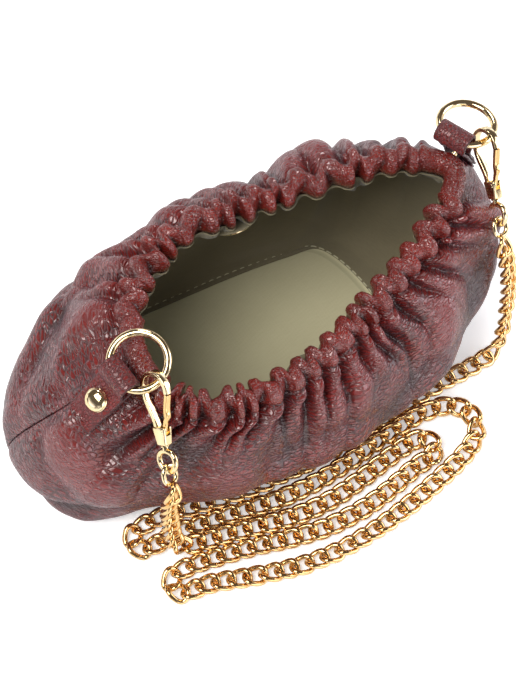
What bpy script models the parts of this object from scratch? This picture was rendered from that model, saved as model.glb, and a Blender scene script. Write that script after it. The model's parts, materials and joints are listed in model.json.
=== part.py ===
"""Gathered leather pouch bag with a chain strap on two trigger hooks.

The bag stands on the floor, +Z up, front towards -Y, its long side along X. The origin is the
middle of the base, on the floor. Lengths are in metres.
"""
import math

import bmesh
import bpy
from mathutils import Matrix, Vector
from mathutils.bvhtree import BVHTree

# Whole bag
HALF_LENGTH = 0.108
HALF_DEPTH = 0.060
MOUTH_HEIGHT = 0.090
LEATHER = 0.0012
LINING = 0.0006
BASE_LEATHER = 0.0014
BOARD = 0.0016
CLEARANCE = 0.0003
SEAM_GAP = 0.0009
CASING_GAP = 0.0006

# Outlines of the slumped pouch from the floor to the gathers, twelve stations anticlockwise from
# the left end, as shares of the half length, the half depth and the mouth height
BASE_SHARES = (
    (-0.91, 0.03), (-0.82, -0.47), (-0.45, -0.63), (0.00, -0.70), (0.36, -0.67), (0.60, -0.44),
    (0.65, 0.08), (0.57, 0.58), (0.38, 0.69), (0.00, 0.76), (-0.46, 0.77), (-0.76, 0.52))
CREASE_SHARES = (
    (-0.98, 0.03, 0.12), (-0.89, -0.50, 0.09), (-0.46, -0.73, 0.10), (0.00, -0.81, 0.11),
    (0.44, -0.78, 0.12), (0.80, -0.50, 0.13), (0.90, 0.08, 0.13), (0.72, 0.62, 0.13),
    (0.45, 0.77, 0.13), (0.00, 0.86, 0.13), (-0.47, 0.86, 0.12), (-0.79, 0.58, 0.11))
BELLY_SHARES = (
    (-1.00, 0.07, 0.36), (-0.90, -0.47, 0.29), (-0.48, -0.88, 0.29), (0.00, -1.08, 0.30),
    (0.45, -1.03, 0.34), (0.91, -0.63, 0.44), (1.03, 0.05, 0.47), (0.84, 0.66, 0.47),
    (0.50, 0.84, 0.44), (0.02, 0.92, 0.42), (-0.44, 0.90, 0.39), (-0.78, 0.63, 0.36))
SHOULDER_SHARES = (
    (-0.81, -0.12, 0.715), (-0.69, -0.57, 0.605), (-0.37, -0.90, 0.57), (0.04, -0.98, 0.57),
    (0.46, -0.85, 0.62), (0.94, -0.50, 0.69), (1.045, 0.08, 0.73), (0.83, 0.58, 0.74),
    (0.52, 0.76, 0.73), (0.08, 0.86, 0.68), (-0.31, 0.88, 0.65), (-0.61, 0.66, 0.62))
COLLAR_SHARES = (
    (-0.61, -0.20, 0.870), (-0.53, -0.59, 0.745), (-0.29, -0.82, 0.69), (0.06, -0.84, 0.69),
    (0.39, -0.70, 0.74), (0.81, -0.43, 0.83), (0.985, 0.04, 0.872), (0.80, 0.43, 0.865),
    (0.51, 0.63, 0.84), (0.12, 0.72, 0.79), (-0.21, 0.73, 0.78), (-0.50, 0.44, 0.79))
MOUTH_SHARES = (
    (-0.49, -0.18, 0.955), (-0.43, -0.54, 0.880), (-0.22, -0.72, 0.845), (0.07, -0.71, 0.850),
    (0.36, -0.565, 0.895), (0.715, -0.315, 0.965), (0.900, -0.03, 1.000), (0.74, 0.24, 1.000),
    (0.46, 0.385, 0.970), (0.13, 0.48, 0.955), (-0.14, 0.51, 0.945), (-0.39, 0.24, 0.950))
STATIONS = len(BASE_SHARES)
RIGHT_STATION = 6

# Gathered mouth: a folded leather casing over an elastic band
CASING_WIDTH = 0.0095
CASING_DROP = 0.0080
# The folded leather's inverted U, from the outside to the inside: shares of its half width and drop
CASING_SHARES = (
    (1.0, 1.0), (1.04, 0.55), (0.82, 0.18), (0.30, 0.0), (-0.30, 0.0), (-0.82, 0.18),
    (-1.04, 0.55), (-1.0, 1.0))
ELASTIC_HEIGHT = 0.0045
ELASTIC = 0.0010
ELASTIC_TOP_GAP = 0.0027
PLEATS = 42
PLEAT_DEPTH = 0.0014
PLEAT_LIFT = 0.0009
PLEAT_QUIET = 0.011
PLEAT_RAMP = 0.009
COLUMNS_PER_PLEAT = 2
WALL_ROWS_PER_LEVEL = 2

# Lining bag and the stiff base
LINING_INSET = 0.0050
LINING_COLUMNS = 40
BOARD_MARGIN = 0.0060

# Tab: a strap folded round the ring and riveted to the end of the bag
TAB_WIDTH = 0.0148
TAB_LEATHER = 0.0012
TAB_LENGTH = 0.0270
TAB_MERGE = 0.0090
LOOP_STEPS = 14

# Ring
RING_RADIUS = 0.0112
RING_WIRE = 0.00155
RING_STEPS = 24
RING_SIDES = 8

# Rivet
RIVET_RADIUS = 0.0048
RIVET_RISE = 0.0026
RIVET_EDGE = 0.0006
POST_RADIUS = 0.0012
RIVET_SETBACK = 0.0147
WASHER_RADIUS = 0.0028
WASHER = 0.0006
WASHER_SPACE = 0.0024

# Trigger hook
HOOK_INNER = 0.0053
HOOK_BAR = 0.0020
HOOK_THICK = 0.0029
ROOT_INSET = 0.0002
HOOK_THROAT = 0.0150
NOSE_DROP = 0.0015
BLOCK_LENGTH = 0.0074
BLOCK_WIDTH = 0.0068
BLOCK_THICK = 0.0046
SEAT_DROP = 0.0013
GATE_BAR = 0.0018
GATE_THICK = 0.0016
GATE_PIN = 0.0006
GATE_SLOT = 0.0034
GATE_PIN_INSET = 0.0019
STEM_RADIUS = 0.0010
STEM_HEAD_RADIUS = 0.0016
STEM_HEAD = 0.0009
WINDOW_WEB = 0.0008
EYE_RADIUS = 0.0044
EYE_WIRE = 0.0012
EYE_NECK = 0.0008
LINK_LENGTH = 0.0012
LINK_RADIUS = 0.0031
LINK_WIRE = 0.0010

# Magnetic snap on round cotton patches inside the lining
SNAP_RADIUS = 0.0090
SNAP = 0.0014
SNAP_EDGE = 0.0004
STUD_RADIUS = 0.0030
STUD_RISE = 0.0016
PATCH_RADIUS = 0.0110
PATCH = 0.0008
PATCH_STANDOFF = 0.0027
SNAP_WASHER_RADIUS = 0.0055
SNAP_STATIONS = {"back": 9.0, "front": 3.0}
SNAP_LEVELS = {"back": 3.55, "front": 3.35}
SNAP_POST_RADIUS = 0.0012

# Chain strap: its outer width and its route in plan, from the right hook to the left hook
CHAIN_WIDTH = 0.0070
CHAIN_SIDES = 2
CHAIN_STEP = 0.0180
CHAIN_BEND = math.radians(24)
CHAIN_LEAD = 0.0030
CHAIN_LAY = CHAIN_WIDTH / 2 + CLEARANCE
CHAIN_TURN = 0.0051

# Where the two tabs stand: the station of the mouth's crest line that they are measured from, how
# far their loops lie out from it, above it and along the rim, the heading of the end wall, the
# slope of the tab and its tilt about its own length, the lean of the ring, the place of the hook
# round the ring, the direction in which the hook hangs and how far it is turned on the wire
LEFT_TAB_STATION = 0.0
LEFT_TAB_REACH = 0.0112
LEFT_TAB_RISE = 0.0017
LEFT_TAB_SHIFT = 0.0065
LEFT_HEADING = math.radians(180)
LEFT_TAB_SLOPE = math.radians(38)
LEFT_TAB_TILT = math.radians(-14)
LEFT_RING_LEAN = math.radians(168)
LEFT_HOOK_PLACE = math.radians(-88)
LEFT_HOOK_HEADING = math.radians(-109)
LEFT_HOOK_SLOPE = math.radians(40)
LEFT_HOOK_CROSSING = math.radians(55)
RIGHT_TAB_STATION = 6.2
RIGHT_TAB_REACH = 0.0064
RIGHT_TAB_RISE = 0.0054
RIGHT_TAB_SHIFT = 0.0020
RIGHT_HEADING = math.radians(24)
RIGHT_TAB_SLOPE = math.radians(58)
RIGHT_TAB_TILT = math.radians(0)
RIGHT_RING_LEAN = math.radians(-9)
RIGHT_HOOK_PLACE = math.radians(-82)
RIGHT_HOOK_HEADING = math.radians(-105)
RIGHT_HOOK_SLOPE = math.radians(40)
RIGHT_HOOK_CROSSING = math.radians(90)

OVERRUN = 0.0020

COLOURS = {
    "leather": ((0.16, 0.022, 0.020), 0.45, 0.0),
    "rim_leather": ((0.24, 0.030, 0.022), 0.45, 0.0),
    "cotton": ((0.30, 0.28, 0.17), 0.85, 0.0),
    "board": ((0.42, 0.36, 0.28), 0.9, 0.0),
    "elastic": ((0.80, 0.78, 0.72), 0.8, 0.0),
    "gold": ((0.83, 0.62, 0.30), 0.2, 1.0),
    "steel": ((0.60, 0.60, 0.60), 0.3, 1.0),
}


# Scene helpers

def clear_scene():
    """Remove every object the file opened with."""
    for obj in list(bpy.data.objects):
        bpy.data.objects.remove(obj, do_unlink=True)


def make_collection(name):
    collection = bpy.data.collections.new(name)
    bpy.context.scene.collection.children.link(collection)
    return collection


def material(kind):
    """The shared material of one kind, made on first use."""
    if kind in bpy.data.materials:
        return bpy.data.materials[kind]
    colour, roughness, metallic = COLOURS[kind]
    made = bpy.data.materials.new(kind)
    made.use_nodes = True
    shader = made.node_tree.nodes["Principled BSDF"]
    shader.inputs["Base Color"].default_value = (*colour, 1.0)
    shader.inputs["Roughness"].default_value = roughness
    shader.inputs["Metallic"].default_value = metallic
    return made


class Builder:
    """Adds named pieces to the bag's collection and keeps the cutters apart."""

    def __init__(self):
        self.parts = make_collection("pouch_bag")
        self.cutters = make_collection("cutters")

    def add(self, name, mesh, kind, matrix=None, smooth=True):
        obj = bpy.data.objects.new(name, mesh)
        self.parts.objects.link(obj)
        obj.data.materials.clear()
        obj.data.materials.append(material(kind))
        if matrix is not None:
            obj.matrix_basis = matrix
        if smooth:
            mesh.shade_smooth()
            mesh.set_sharp_from_angle(angle=math.radians(40))
        return obj

    def pivot(self, name, place, carrier=None):
        """An empty on a joint's axis, which carries the pieces that turn about it."""
        empty = bpy.data.objects.new(name, None)
        self.parts.objects.link(empty)
        empty.empty_display_size = RING_RADIUS
        empty.matrix_basis = Matrix.Translation(place)
        if carrier is not None:
            self.carry(carrier, empty)
        return empty

    def carry(self, pivot, *pieces):
        """Parent pieces to a pivot, each in its own place."""
        for piece in pieces:
            piece.parent = pivot
            piece.matrix_parent_inverse = Matrix.Translation(-pivot.matrix_basis.translation)

    def cutter(self, name, mesh, matrix):
        obj = bpy.data.objects.new(name, mesh)
        self.cutters.objects.link(obj)
        obj.matrix_world = matrix
        obj.hide_render = True
        obj.display_type = "WIRE"
        return obj


def cut(obj, cutter):
    modifier = obj.modifiers.new("cut_" + cutter.name, "BOOLEAN")
    modifier.operation = "DIFFERENCE"
    modifier.object = cutter


def join(obj, other):
    modifier = obj.modifiers.new("join_" + other.name, "BOOLEAN")
    modifier.operation = "UNION"
    modifier.object = other


# Meshes

def cylinder_mesh(name, radius, length, sides=16, radius_top=None):
    """A closed cylinder or cone centred on its own origin, along Z."""
    bm = bmesh.new()
    bmesh.ops.create_cone(bm, cap_ends=True, segments=sides, radius1=radius,
                          radius2=radius if radius_top is None else radius_top, depth=length)
    mesh = bpy.data.meshes.new(name)
    bm.to_mesh(mesh)
    bm.free()
    return mesh


def box_mesh(name, size):
    bm = bmesh.new()
    bmesh.ops.create_cube(bm, size=1.0, matrix=Matrix.Diagonal((*size, 1.0)))
    mesh = bpy.data.meshes.new(name)
    bm.to_mesh(mesh)
    bm.free()
    return mesh


def mesh_of_curve(name, curve):
    """The evaluated mesh of a curve, with its loose caps welded."""
    guide = bpy.data.objects.new(name + "_guide", curve)
    bpy.context.scene.collection.objects.link(guide)
    depsgraph = bpy.context.evaluated_depsgraph_get()
    depsgraph.update()
    mesh = bpy.data.meshes.new_from_object(guide.evaluated_get(depsgraph))
    mesh.name = name
    bm = bmesh.new()
    bm.from_mesh(mesh)
    bmesh.ops.remove_doubles(bm, verts=bm.verts, dist=WELD)
    bmesh.ops.recalc_face_normals(bm, faces=bm.faces)
    bm.to_mesh(mesh)
    bm.free()
    bpy.data.objects.remove(guide, do_unlink=True)
    return mesh


def outline_mesh(name, points, depth):
    """A flat outline in X and Y, given thickness along Z about its own plane."""
    curve = bpy.data.curves.new(name, "CURVE")
    curve.dimensions = "2D"
    curve.fill_mode = "BOTH"
    curve.extrude = depth / 2
    spline = curve.splines.new("POLY")
    spline.points.add(len(points) - 1)
    for place, (x, y) in zip(spline.points, points):
        place.co = (x, y, 0, 1)
    spline.use_cyclic_u = True
    return mesh_of_curve(name, curve)


def wire_mesh(name, points, radius, resolution, cyclic=False):
    """A round wire or tube along points."""
    curve = bpy.data.curves.new(name, "CURVE")
    curve.dimensions = "3D"
    curve.bevel_depth = radius
    curve.bevel_resolution = resolution
    curve.use_fill_caps = not cyclic
    spline = curve.splines.new("POLY")
    spline.points.add(len(points) - 1)
    for place, point in zip(spline.points, points):
        place.co = (*point, 1)
    spline.use_cyclic_u = cyclic
    return mesh_of_curve(name, curve)


def turned_mesh(name, profile, steps=16):
    """A profile of radius and height pairs turned about Z by a Screw modifier."""
    bm = bmesh.new()
    closed = profile[0] == profile[-1]
    places = profile[:-1] if closed else profile
    verts = [bm.verts.new((radius, 0, height)) for radius, height in places]
    for first, second in zip(verts, verts[1:]):
        bm.edges.new((first, second))
    if closed:
        bm.edges.new((verts[-1], verts[0]))
    mesh = bpy.data.meshes.new(name)
    bm.to_mesh(mesh)
    bm.free()
    guide = bpy.data.objects.new(name + "_guide", mesh)
    bpy.context.scene.collection.objects.link(guide)
    screw = guide.modifiers.new("turn", "SCREW")
    screw.steps = steps
    screw.render_steps = steps
    screw.use_merge_vertices = True
    screw.merge_threshold = WELD
    depsgraph = bpy.context.evaluated_depsgraph_get()
    depsgraph.update()
    turned = bpy.data.meshes.new_from_object(guide.evaluated_get(depsgraph))
    turned.name = name
    bm = bmesh.new()
    bm.from_mesh(turned)
    bmesh.ops.recalc_face_normals(bm, faces=bm.faces)
    bm.to_mesh(turned)
    bm.free()
    bpy.data.objects.remove(guide, do_unlink=True)
    return turned


def sheet_mesh(name, rows, closed):
    """An open surface lofted through rows of points, each row running round the bag."""
    bm = bmesh.new()
    grid = [[bm.verts.new(point) for point in row] for row in rows]
    count = len(rows[0])
    spans = count if closed else count - 1
    for lower, upper in zip(grid, grid[1:]):
        for index in range(spans):
            following = (index + 1) % count
            bm.faces.new((lower[index], lower[following], upper[following], upper[index]))
    mesh = bpy.data.meshes.new(name)
    bm.to_mesh(mesh)
    bm.free()
    return mesh


def solidify(obj, thickness, offset=-1.0):
    modifier = obj.modifiers.new("thickness", "SOLIDIFY")
    modifier.thickness = thickness
    modifier.offset = offset


# Smooth curves through given points

def spline_point(before, start, end, after, along):
    """Catmull-Rom point between start and end."""
    square, cube = along * along, along * along * along
    return (start * 2 + (end - before) * along
            + (before * 2 - start * 5 + end * 4 - after) * square
            + (start * 3 - before - end * 3 + after) * cube) * 0.5


def closed_point(points, where):
    """Point of the closed curve at a station number, which may be fractional."""
    count = len(points)
    index = math.floor(where)
    along = where - index
    return spline_point(points[(index - 1) % count], points[index % count],
                        points[(index + 1) % count], points[(index + 2) % count], along)


def open_point(points, where):
    """Point of the open curve at a place between 0 and the last index."""
    last = len(points) - 1
    index = min(int(where), last - 1)
    along = where - index
    before = points[index - 1] if index > 0 else points[0] * 2 - points[1]
    after = points[index + 2] if index + 2 <= last else points[last] * 2 - points[last - 1]
    return spline_point(before, points[index], points[index + 1], after, along)


FINE = 24
WELD = 0.00002
NUDGE = 0.05


def smoothstep(low, high, value):
    share = min(1.0, max(0.0, (value - low) / (high - low)))
    return share * share * (3 - 2 * share)


# The pouch surface

def scaled(shares):
    return [Vector((x * HALF_LENGTH, y * HALF_DEPTH, z * MOUTH_HEIGHT)) for x, y, z in shares]


class Pouch:
    """The slumped leather pouch as one surface over station and level."""

    BASE, CREASE, BELLY, SHOULDER, COLLAR, NECK = range(6)

    def __init__(self):
        floor = BASE_LEATHER + CLEARANCE
        self.levels = [[Vector((x * HALF_LENGTH, y * HALF_DEPTH, floor)) for x, y in BASE_SHARES]]
        for shares in (CREASE_SHARES, BELLY_SHARES, SHOULDER_SHARES, COLLAR_SHARES):
            self.levels.append(scaled(shares))
        self.mouth = scaled(MOUTH_SHARES)
        self.measure()

    def outward(self, curve, station):
        """Level unit vector pointing out of a closed curve."""
        ahead, behind = closed_point(curve, station + NUDGE), closed_point(curve, station - NUDGE)
        return Vector((ahead.y - behind.y, behind.x - ahead.x, 0)).normalized()

    def measure(self):
        """Length of the mouth curve up to each fine station, for evenly spaced gathers."""
        self.fine = STATIONS * FINE
        self.reach = [0.0]
        previous = closed_point(self.mouth, 0)
        for index in range(1, self.fine + 1):
            point = closed_point(self.mouth, index / FINE)
            self.reach.append(self.reach[-1] + (point - previous).length)
            previous = point
        self.girth = self.reach[-1]
        self.front = self.reach[RIGHT_STATION * FINE]
        self.front_pleats = round(PLEATS * self.front / self.girth)

    def length_at(self, station):
        place = (station % STATIONS) * FINE
        index = int(place)
        following = min(index + 1, self.fine)
        return self.reach[index] + (self.reach[following] - self.reach[index]) * (place - index)

    def station_at(self, length):
        length = length % self.girth
        low, high = 0, self.fine
        while high - low > 1:
            middle = (low + high) // 2
            if self.reach[middle] <= length:
                low = middle
            else:
                high = middle
        return (low + (length - self.reach[low]) / (self.reach[high] - self.reach[low])) / FINE

    def pleat(self, station):
        """Height of the gather at a station, from -1 to 1, and still under the two tabs."""
        length = self.length_at(station)
        quiet = 1.0
        for tab in (0, RIGHT_STATION):
            away = abs(length - self.length_at(tab))
            away = min(away, self.girth - away)
            quiet *= smoothstep(PLEAT_QUIET, PLEAT_QUIET + PLEAT_RAMP, away)
        if length <= self.front:
            turns = self.front_pleats * length / self.front
        else:
            back_pleats = PLEATS - self.front_pleats
            turns = back_pleats * (length - self.front) / (self.girth - self.front)
        return quiet * math.cos(2 * math.pi * turns)

    def neck(self, station, side):
        """Lower edge of the casing, outside for side 1 and inside for side -1."""
        crest = closed_point(self.mouth, station)
        out = self.outward(self.mouth, station)
        point = crest + out * (side * CASING_WIDTH / 2)
        point.z = crest.z - CASING_DROP
        return point

    def wall(self, station, level, gathered=True):
        """Point of the leather's outer face."""
        points = [closed_point(curve, station) for curve in self.levels]
        points.append(self.neck(station, 1) - Vector((0, 0, CASING_GAP)))
        point = open_point(points, level)
        if gathered:
            share = smoothstep(self.SHOULDER, self.NECK, level)
            out = self.outward(self.mouth, station)
            point = point + out * (PLEAT_DEPTH * share * self.pleat(station))
        return point

    def lining(self, station, level):
        """Point of the lining's outer face, inside the leather."""
        plain = self.wall(station, level, gathered=False)
        share = smoothstep(self.BELLY, self.NECK, level)
        below = self.levels[min(int(level), self.COLLAR)]
        above = self.levels[min(int(level) + 1, self.COLLAR)]
        blend = level - int(level)
        out = self.outward(below, station) * (1 - blend) + self.outward(above, station) * blend
        inset = plain - out.normalized() * LINING_INSET
        return inset.lerp(self.neck(station, -1) - Vector((0, 0, CASING_GAP)), share)

    def stations(self, start, end, columns):
        """Stations between two seams, evenly spaced along the mouth."""
        first, last = self.length_at(start), self.length_at(end) if end < STATIONS else self.girth
        inner = [self.station_at(first + (last - first) * index / columns)
                 for index in range(1, columns)]
        return [start] + inner + [end]


def build_panels(builder, pouch):
    """Front and back leather panels, which meet at the two end seams."""
    panels = {}
    for name, stations in zip(("front_panel", "back_panel"), pleat_stations(pouch)):
        rows = [[pouch.wall(station, level) for station in stations] for level in wall_levels()]
        rows = [pull_seams(row) for row in rows]
        panels[name] = builder.add(name, sheet_mesh(name, rows, False), "leather")
        solidify(panels[name], LEATHER)
    return panels


def pleat_stations(pouch):
    """Stations of the crests and troughs of the gathers, for the front and for the back."""
    front = pouch.stations(0, RIGHT_STATION, pouch.front_pleats * COLUMNS_PER_PLEAT)
    back = pouch.stations(RIGHT_STATION, STATIONS,
                          (PLEATS - pouch.front_pleats) * COLUMNS_PER_PLEAT)
    return front, back


def wall_levels():
    count = Pouch.NECK * WALL_ROWS_PER_LEVEL
    return [index / WALL_ROWS_PER_LEVEL for index in range(count + 1)]


def pull_seams(row):
    """Draw a row's two ends in by half the seam's gap."""
    start = row[0] + (row[1] - row[0]).normalized() * (SEAM_GAP / 2)
    end = row[-1] + (row[-2] - row[-1]).normalized() * (SEAM_GAP / 2)
    return [start] + row[1:-1] + [end]


def build_base(builder, pouch):
    """Base leather, stiffening board and lining floor, one above the other."""
    curve = pouch.levels[Pouch.BASE]
    samples = [closed_point(curve, index / 4) for index in range(STATIONS * 4)]
    centre = sum(samples, Vector()) / len(samples)
    outline = [(point.x, point.y) for point in samples]
    level = Matrix.Translation((0, 0, BASE_LEATHER / 2))
    builder.add("base_panel", outline_mesh("base_panel", outline, BASE_LEATHER), "leather", level)

    def shrunk(margin):
        result = []
        for point in samples:
            inward = centre - point
            inward.z = 0
            moved = point + inward.normalized() * margin
            result.append((moved.x, moved.y))
        return result

    bottom = BASE_LEATHER + CLEARANCE
    level = Matrix.Translation((0, 0, bottom + BOARD / 2))
    builder.add("base_board", outline_mesh("base_board", shrunk(BOARD_MARGIN), BOARD), "board",
                level)
    bottom += BOARD + CLEARANCE
    level = Matrix.Translation((0, 0, bottom + LINING / 2))
    builder.add("lining_floor", outline_mesh("lining_floor", shrunk(BOARD_MARGIN), LINING),
                "cotton", level)
    return bottom + LINING


def build_lining(builder, pouch, floor_top):
    """Front and back lining, from just above the lining floor to the casing."""
    for name, start, end in (("lining_front", 0, RIGHT_STATION),
                             ("lining_back", RIGHT_STATION, STATIONS)):
        stations = pouch.stations(start, end, LINING_COLUMNS // 2)
        rows = []
        for level in wall_levels():
            row = [pouch.lining(station, level) for station in stations]
            for point in row:
                point.z = max(point.z, floor_top + CLEARANCE)
            rows.append(pull_seams(row))
        obj = builder.add(name, sheet_mesh(name, rows, False), "cotton")
        solidify(obj, LINING)


def build_mouth(builder, pouch):
    """Pleated casing round the mouth and the elastic band inside it."""
    front, back = pleat_stations(pouch)
    stations = front + back[1:-1]
    rows = []
    for side, drop in CASING_SHARES:
        row = []
        for station in stations:
            crest = closed_point(pouch.mouth, station)
            out = pouch.outward(pouch.mouth, station)
            pleat = pouch.pleat(station)
            point = crest + out * (side * CASING_WIDTH / 2 + PLEAT_DEPTH * pleat)
            point.z = crest.z - drop * CASING_DROP + (1 - drop) * PLEAT_LIFT * pleat
            row.append(point)
        rows.append(row)
    casing = builder.add("mouth_casing", sheet_mesh("mouth_casing", rows, True), "rim_leather")
    solidify(casing, LEATHER)

    rows = []
    for drop in (ELASTIC_TOP_GAP + ELASTIC_HEIGHT, ELASTIC_TOP_GAP):
        row = []
        for station in pouch.stations(0, STATIONS, LINING_COLUMNS)[:-1]:
            crest = closed_point(pouch.mouth, station)
            row.append(crest - Vector((0, 0, drop)))
        rows.append(row)
    elastic = builder.add("mouth_elastic", sheet_mesh("mouth_elastic", rows, True), "elastic")
    solidify(elastic, ELASTIC, 0.0)
    return casing


# Tab, ring and hook at one end

def ring_reach():
    """Least and greatest distance of the ring's wire from its centre inside the loop."""
    inner, outer = RING_RADIUS - RING_WIRE, RING_RADIUS + RING_WIRE
    return math.sqrt(inner ** 2 - (TAB_WIDTH / 2) ** 2), outer


def loop_bore():
    least, greatest = ring_reach()
    return (greatest - least) / 2 + CLEARANCE


def ring_offset():
    """Distance of the ring's centre from the loop's axis."""
    least, greatest = ring_reach()
    return (greatest + least) / 2


def axes_matrix(origin, x_axis, y_axis, z_axis):
    matrix = Matrix.Identity(4)
    for column, axis in enumerate((x_axis, y_axis, z_axis)):
        for row in range(3):
            matrix[row][column] = axis[row]
    matrix.translation = origin
    return matrix


class End:
    """The tab, ring, rivet and trigger hook at one end of the bag."""

    def __init__(self, name, crest, tab_place, heading, tab_lie, ring_lean, hook_place,
                 hook_hang):
        self.name = name
        self.out = Vector((math.cos(heading), math.sin(heading), 0))
        self.axis = Vector((-self.out.y, self.out.x, 0))
        up = Vector((0, 0, 1))
        reach, rise, shift = tab_place
        self.loop = crest + self.out * reach + up * rise + self.axis * shift
        slope, tilt = tab_lie
        self.along = self.out * math.cos(slope) - up * math.sin(slope)
        lie = Matrix.Rotation(tilt, 3, self.along)
        self.axis = lie @ self.axis
        self.normal = lie @ (self.out * math.sin(slope) + up * math.cos(slope))
        self.radial = (self.along * math.cos(ring_lean + slope)
                       + self.normal * math.sin(ring_lean + slope))
        self.ring_centre = self.loop + self.radial * ring_offset()
        self.ring_normal = self.radial.cross(self.axis)
        if self.ring_normal.z < 0:
            self.ring_normal.negate()
        place = Vector((math.cos(hook_place), math.sin(hook_place), 0))
        place -= self.ring_normal * place.dot(self.ring_normal)
        self.seat = self.ring_centre + place.normalized() * RING_RADIUS
        self.wire_axis = self.ring_normal.cross(place.normalized())
        hook_heading, hook_slope, crossing = hook_hang
        level = Vector((math.cos(hook_heading), math.sin(hook_heading), 0))
        self.hang = level * math.cos(hook_slope) - up * math.sin(hook_slope)
        side = self.wire_axis - self.hang * self.wire_axis.dot(self.hang)
        side.normalize()
        face = side.cross(self.hang)
        if face.z < 0:
            side.negate()
            face.negate()
        turn = Matrix.Rotation(crossing, 3, self.hang)
        self.side = turn @ side
        self.face = turn @ face
        self.bow = self.seat + self.hang * SEAT_DROP

    def tab_frame(self):
        """Outline X down the tab and Y out of the wall, with Z across the tab."""
        across = self.along.cross(self.normal)
        return axes_matrix(self.loop, self.along, self.normal, across)

    def hook_frame(self):
        """X across the hook, Y up towards the bow and Z out of its face."""
        across = self.side
        upward = -self.hang
        return axes_matrix(self.bow, across, upward, across.cross(upward))


def tab_outline():
    """The folded strap's edge line: inner leg, loop round the ring, outer leg."""
    middle = loop_bore() + TAB_LEATHER / 2
    rest = -middle
    centre = [(TAB_LENGTH, rest)]
    for index in range(LOOP_STEPS + 1):
        angle = math.radians(-90 - LOOP_SWEEP * index / LOOP_STEPS)
        centre.append((middle * math.cos(angle), middle * math.sin(angle)))
    outer = rest + TAB_LEATHER + CLEARANCE
    centre += [(TAB_MERGE, outer), (TAB_LENGTH, outer)]
    half = TAB_LEATHER / 2
    left, right = [], []
    for index, point in enumerate(centre):
        before = Vector(centre[max(index - 1, 0)])
        after = Vector(centre[min(index + 1, len(centre) - 1)])
        here = Vector(point)
        arriving = (here - before).normalized() if index > 0 else (after - here).normalized()
        leaving = (after - here).normalized() if index < len(centre) - 1 else arriving
        normal = Vector((-(arriving + leaving).y, (arriving + leaving).x)).normalized()
        square = Vector((-arriving.y, arriving.x))
        reach = half / max(normal.dot(square), 0.5)
        left.append(tuple(here + normal * reach))
        right.append(tuple(here - normal * reach))
    return left + right[::-1]


LOOP_SWEEP = 232.0


def build_tab(builder, end, panels):
    """Folded tab, its rivet through tab and wall, and the washer behind the wall."""
    frame = end.tab_frame()
    tab = builder.add(end.name + "_tab", outline_mesh(end.name + "_tab", tab_outline(), TAB_WIDTH),
                      "leather", frame, smooth=True)
    under = -(loop_bore() + TAB_LEATHER)
    top = under + 2 * TAB_LEATHER + CLEARANCE
    turn = axes_matrix(end.loop + end.along * RIVET_SETBACK, end.along,
                       end.normal.cross(end.along), end.normal)
    foot = -wall_depth(panels, end) - LEATHER - WASHER_SPACE - WASHER
    seat = top + CLEARANCE
    profile = [(0, seat + RIVET_RISE)]
    for index in range(1, 6):
        angle = math.radians(90 * index / 6)
        profile.append((RIVET_RADIUS * math.sin(angle),
                        seat + RIVET_EDGE + (RIVET_RISE - RIVET_EDGE) * math.cos(angle)))
    profile += [(RIVET_RADIUS, seat + RIVET_EDGE), (RIVET_RADIUS, seat), (POST_RADIUS, seat),
                (POST_RADIUS, foot), (0, foot)]
    name = end.name + "_rivet"
    builder.add(name, turned_mesh(name, profile), "gold", turn)
    hole = POST_RADIUS + CLEARANCE
    drill = builder.cutter(end.name + "_rivet_hole", cylinder_mesh(
        end.name + "_rivet_hole", hole, top - foot + 2 * OVERRUN),
        turn @ Matrix.Translation((0, 0, (top + foot) / 2)))
    cut(tab, drill)
    for panel in panels:
        cut(panel, drill)
    washer_top = foot + WASHER
    name = end.name + "_rivet_washer"
    profile = [(hole, washer_top), (WASHER_RADIUS, washer_top), (WASHER_RADIUS, foot),
               (hole, foot), (hole, washer_top)]
    builder.add(name, turned_mesh(name, profile, 16), "steel", turn)


def wall_depth(panels, end):
    """How far the wall's outer face lies behind the rivet's place, along the tab's normal."""
    origin = end.loop + end.along * RIVET_SETBACK
    depths = []
    for panel in panels:
        bm = bmesh.new()
        bm.from_mesh(panel.data)
        bmesh.ops.triangulate(bm, faces=bm.faces)
        hit = BVHTree.FromBMesh(bm).ray_cast(origin, -end.normal)
        bm.free()
        if hit[0] is not None:
            depths.append(hit[3])
    return min(depths)


def build_ring(builder, end):
    """Plain round ring through the tab's loop."""
    bpy.ops.mesh.primitive_torus_add(major_segments=RING_STEPS, minor_segments=RING_SIDES,
                                     major_radius=RING_RADIUS, minor_radius=RING_WIRE)
    made = bpy.context.object
    mesh = made.data
    bpy.data.objects.remove(made, do_unlink=True)
    frame = axes_matrix(end.ring_centre, end.radial, end.ring_normal.cross(end.radial),
                        end.ring_normal)
    ring = builder.add(end.name + "_ring", mesh, "gold", frame)
    end.ring_pivot = builder.pivot(end.name + "_ring_axis", end.loop)
    builder.carry(end.ring_pivot, ring)


def hook_outline():
    """Hook seen on its face: block, long arm, bow and nose, as one closed edge line."""
    outer, inner = HOOK_INNER + HOOK_BAR, HOOK_INNER
    half = BLOCK_WIDTH / 2 - ROOT_INSET
    block_top, root = -HOOK_THROAT, -HOOK_THROAT - HOOK_BAR
    outline = [(half, root), (half, block_top)]
    for index in range(BOW_STEPS + 1):
        angle = math.radians(-8 + 188 * index / BOW_STEPS)
        outline.append((outer * math.cos(angle), outer * math.sin(angle)))
    outline += [(-outer, -NOSE_DROP), (-inner, -NOSE_DROP)]
    for index in range(BOW_STEPS + 1):
        angle = math.radians(180 - 188 * index / BOW_STEPS)
        outline.append((inner * math.cos(angle), inner * math.sin(angle)))
    outline += [(half - HOOK_BAR, block_top), (half - HOOK_BAR, root)]
    return outline


BOW_STEPS = 12


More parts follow.
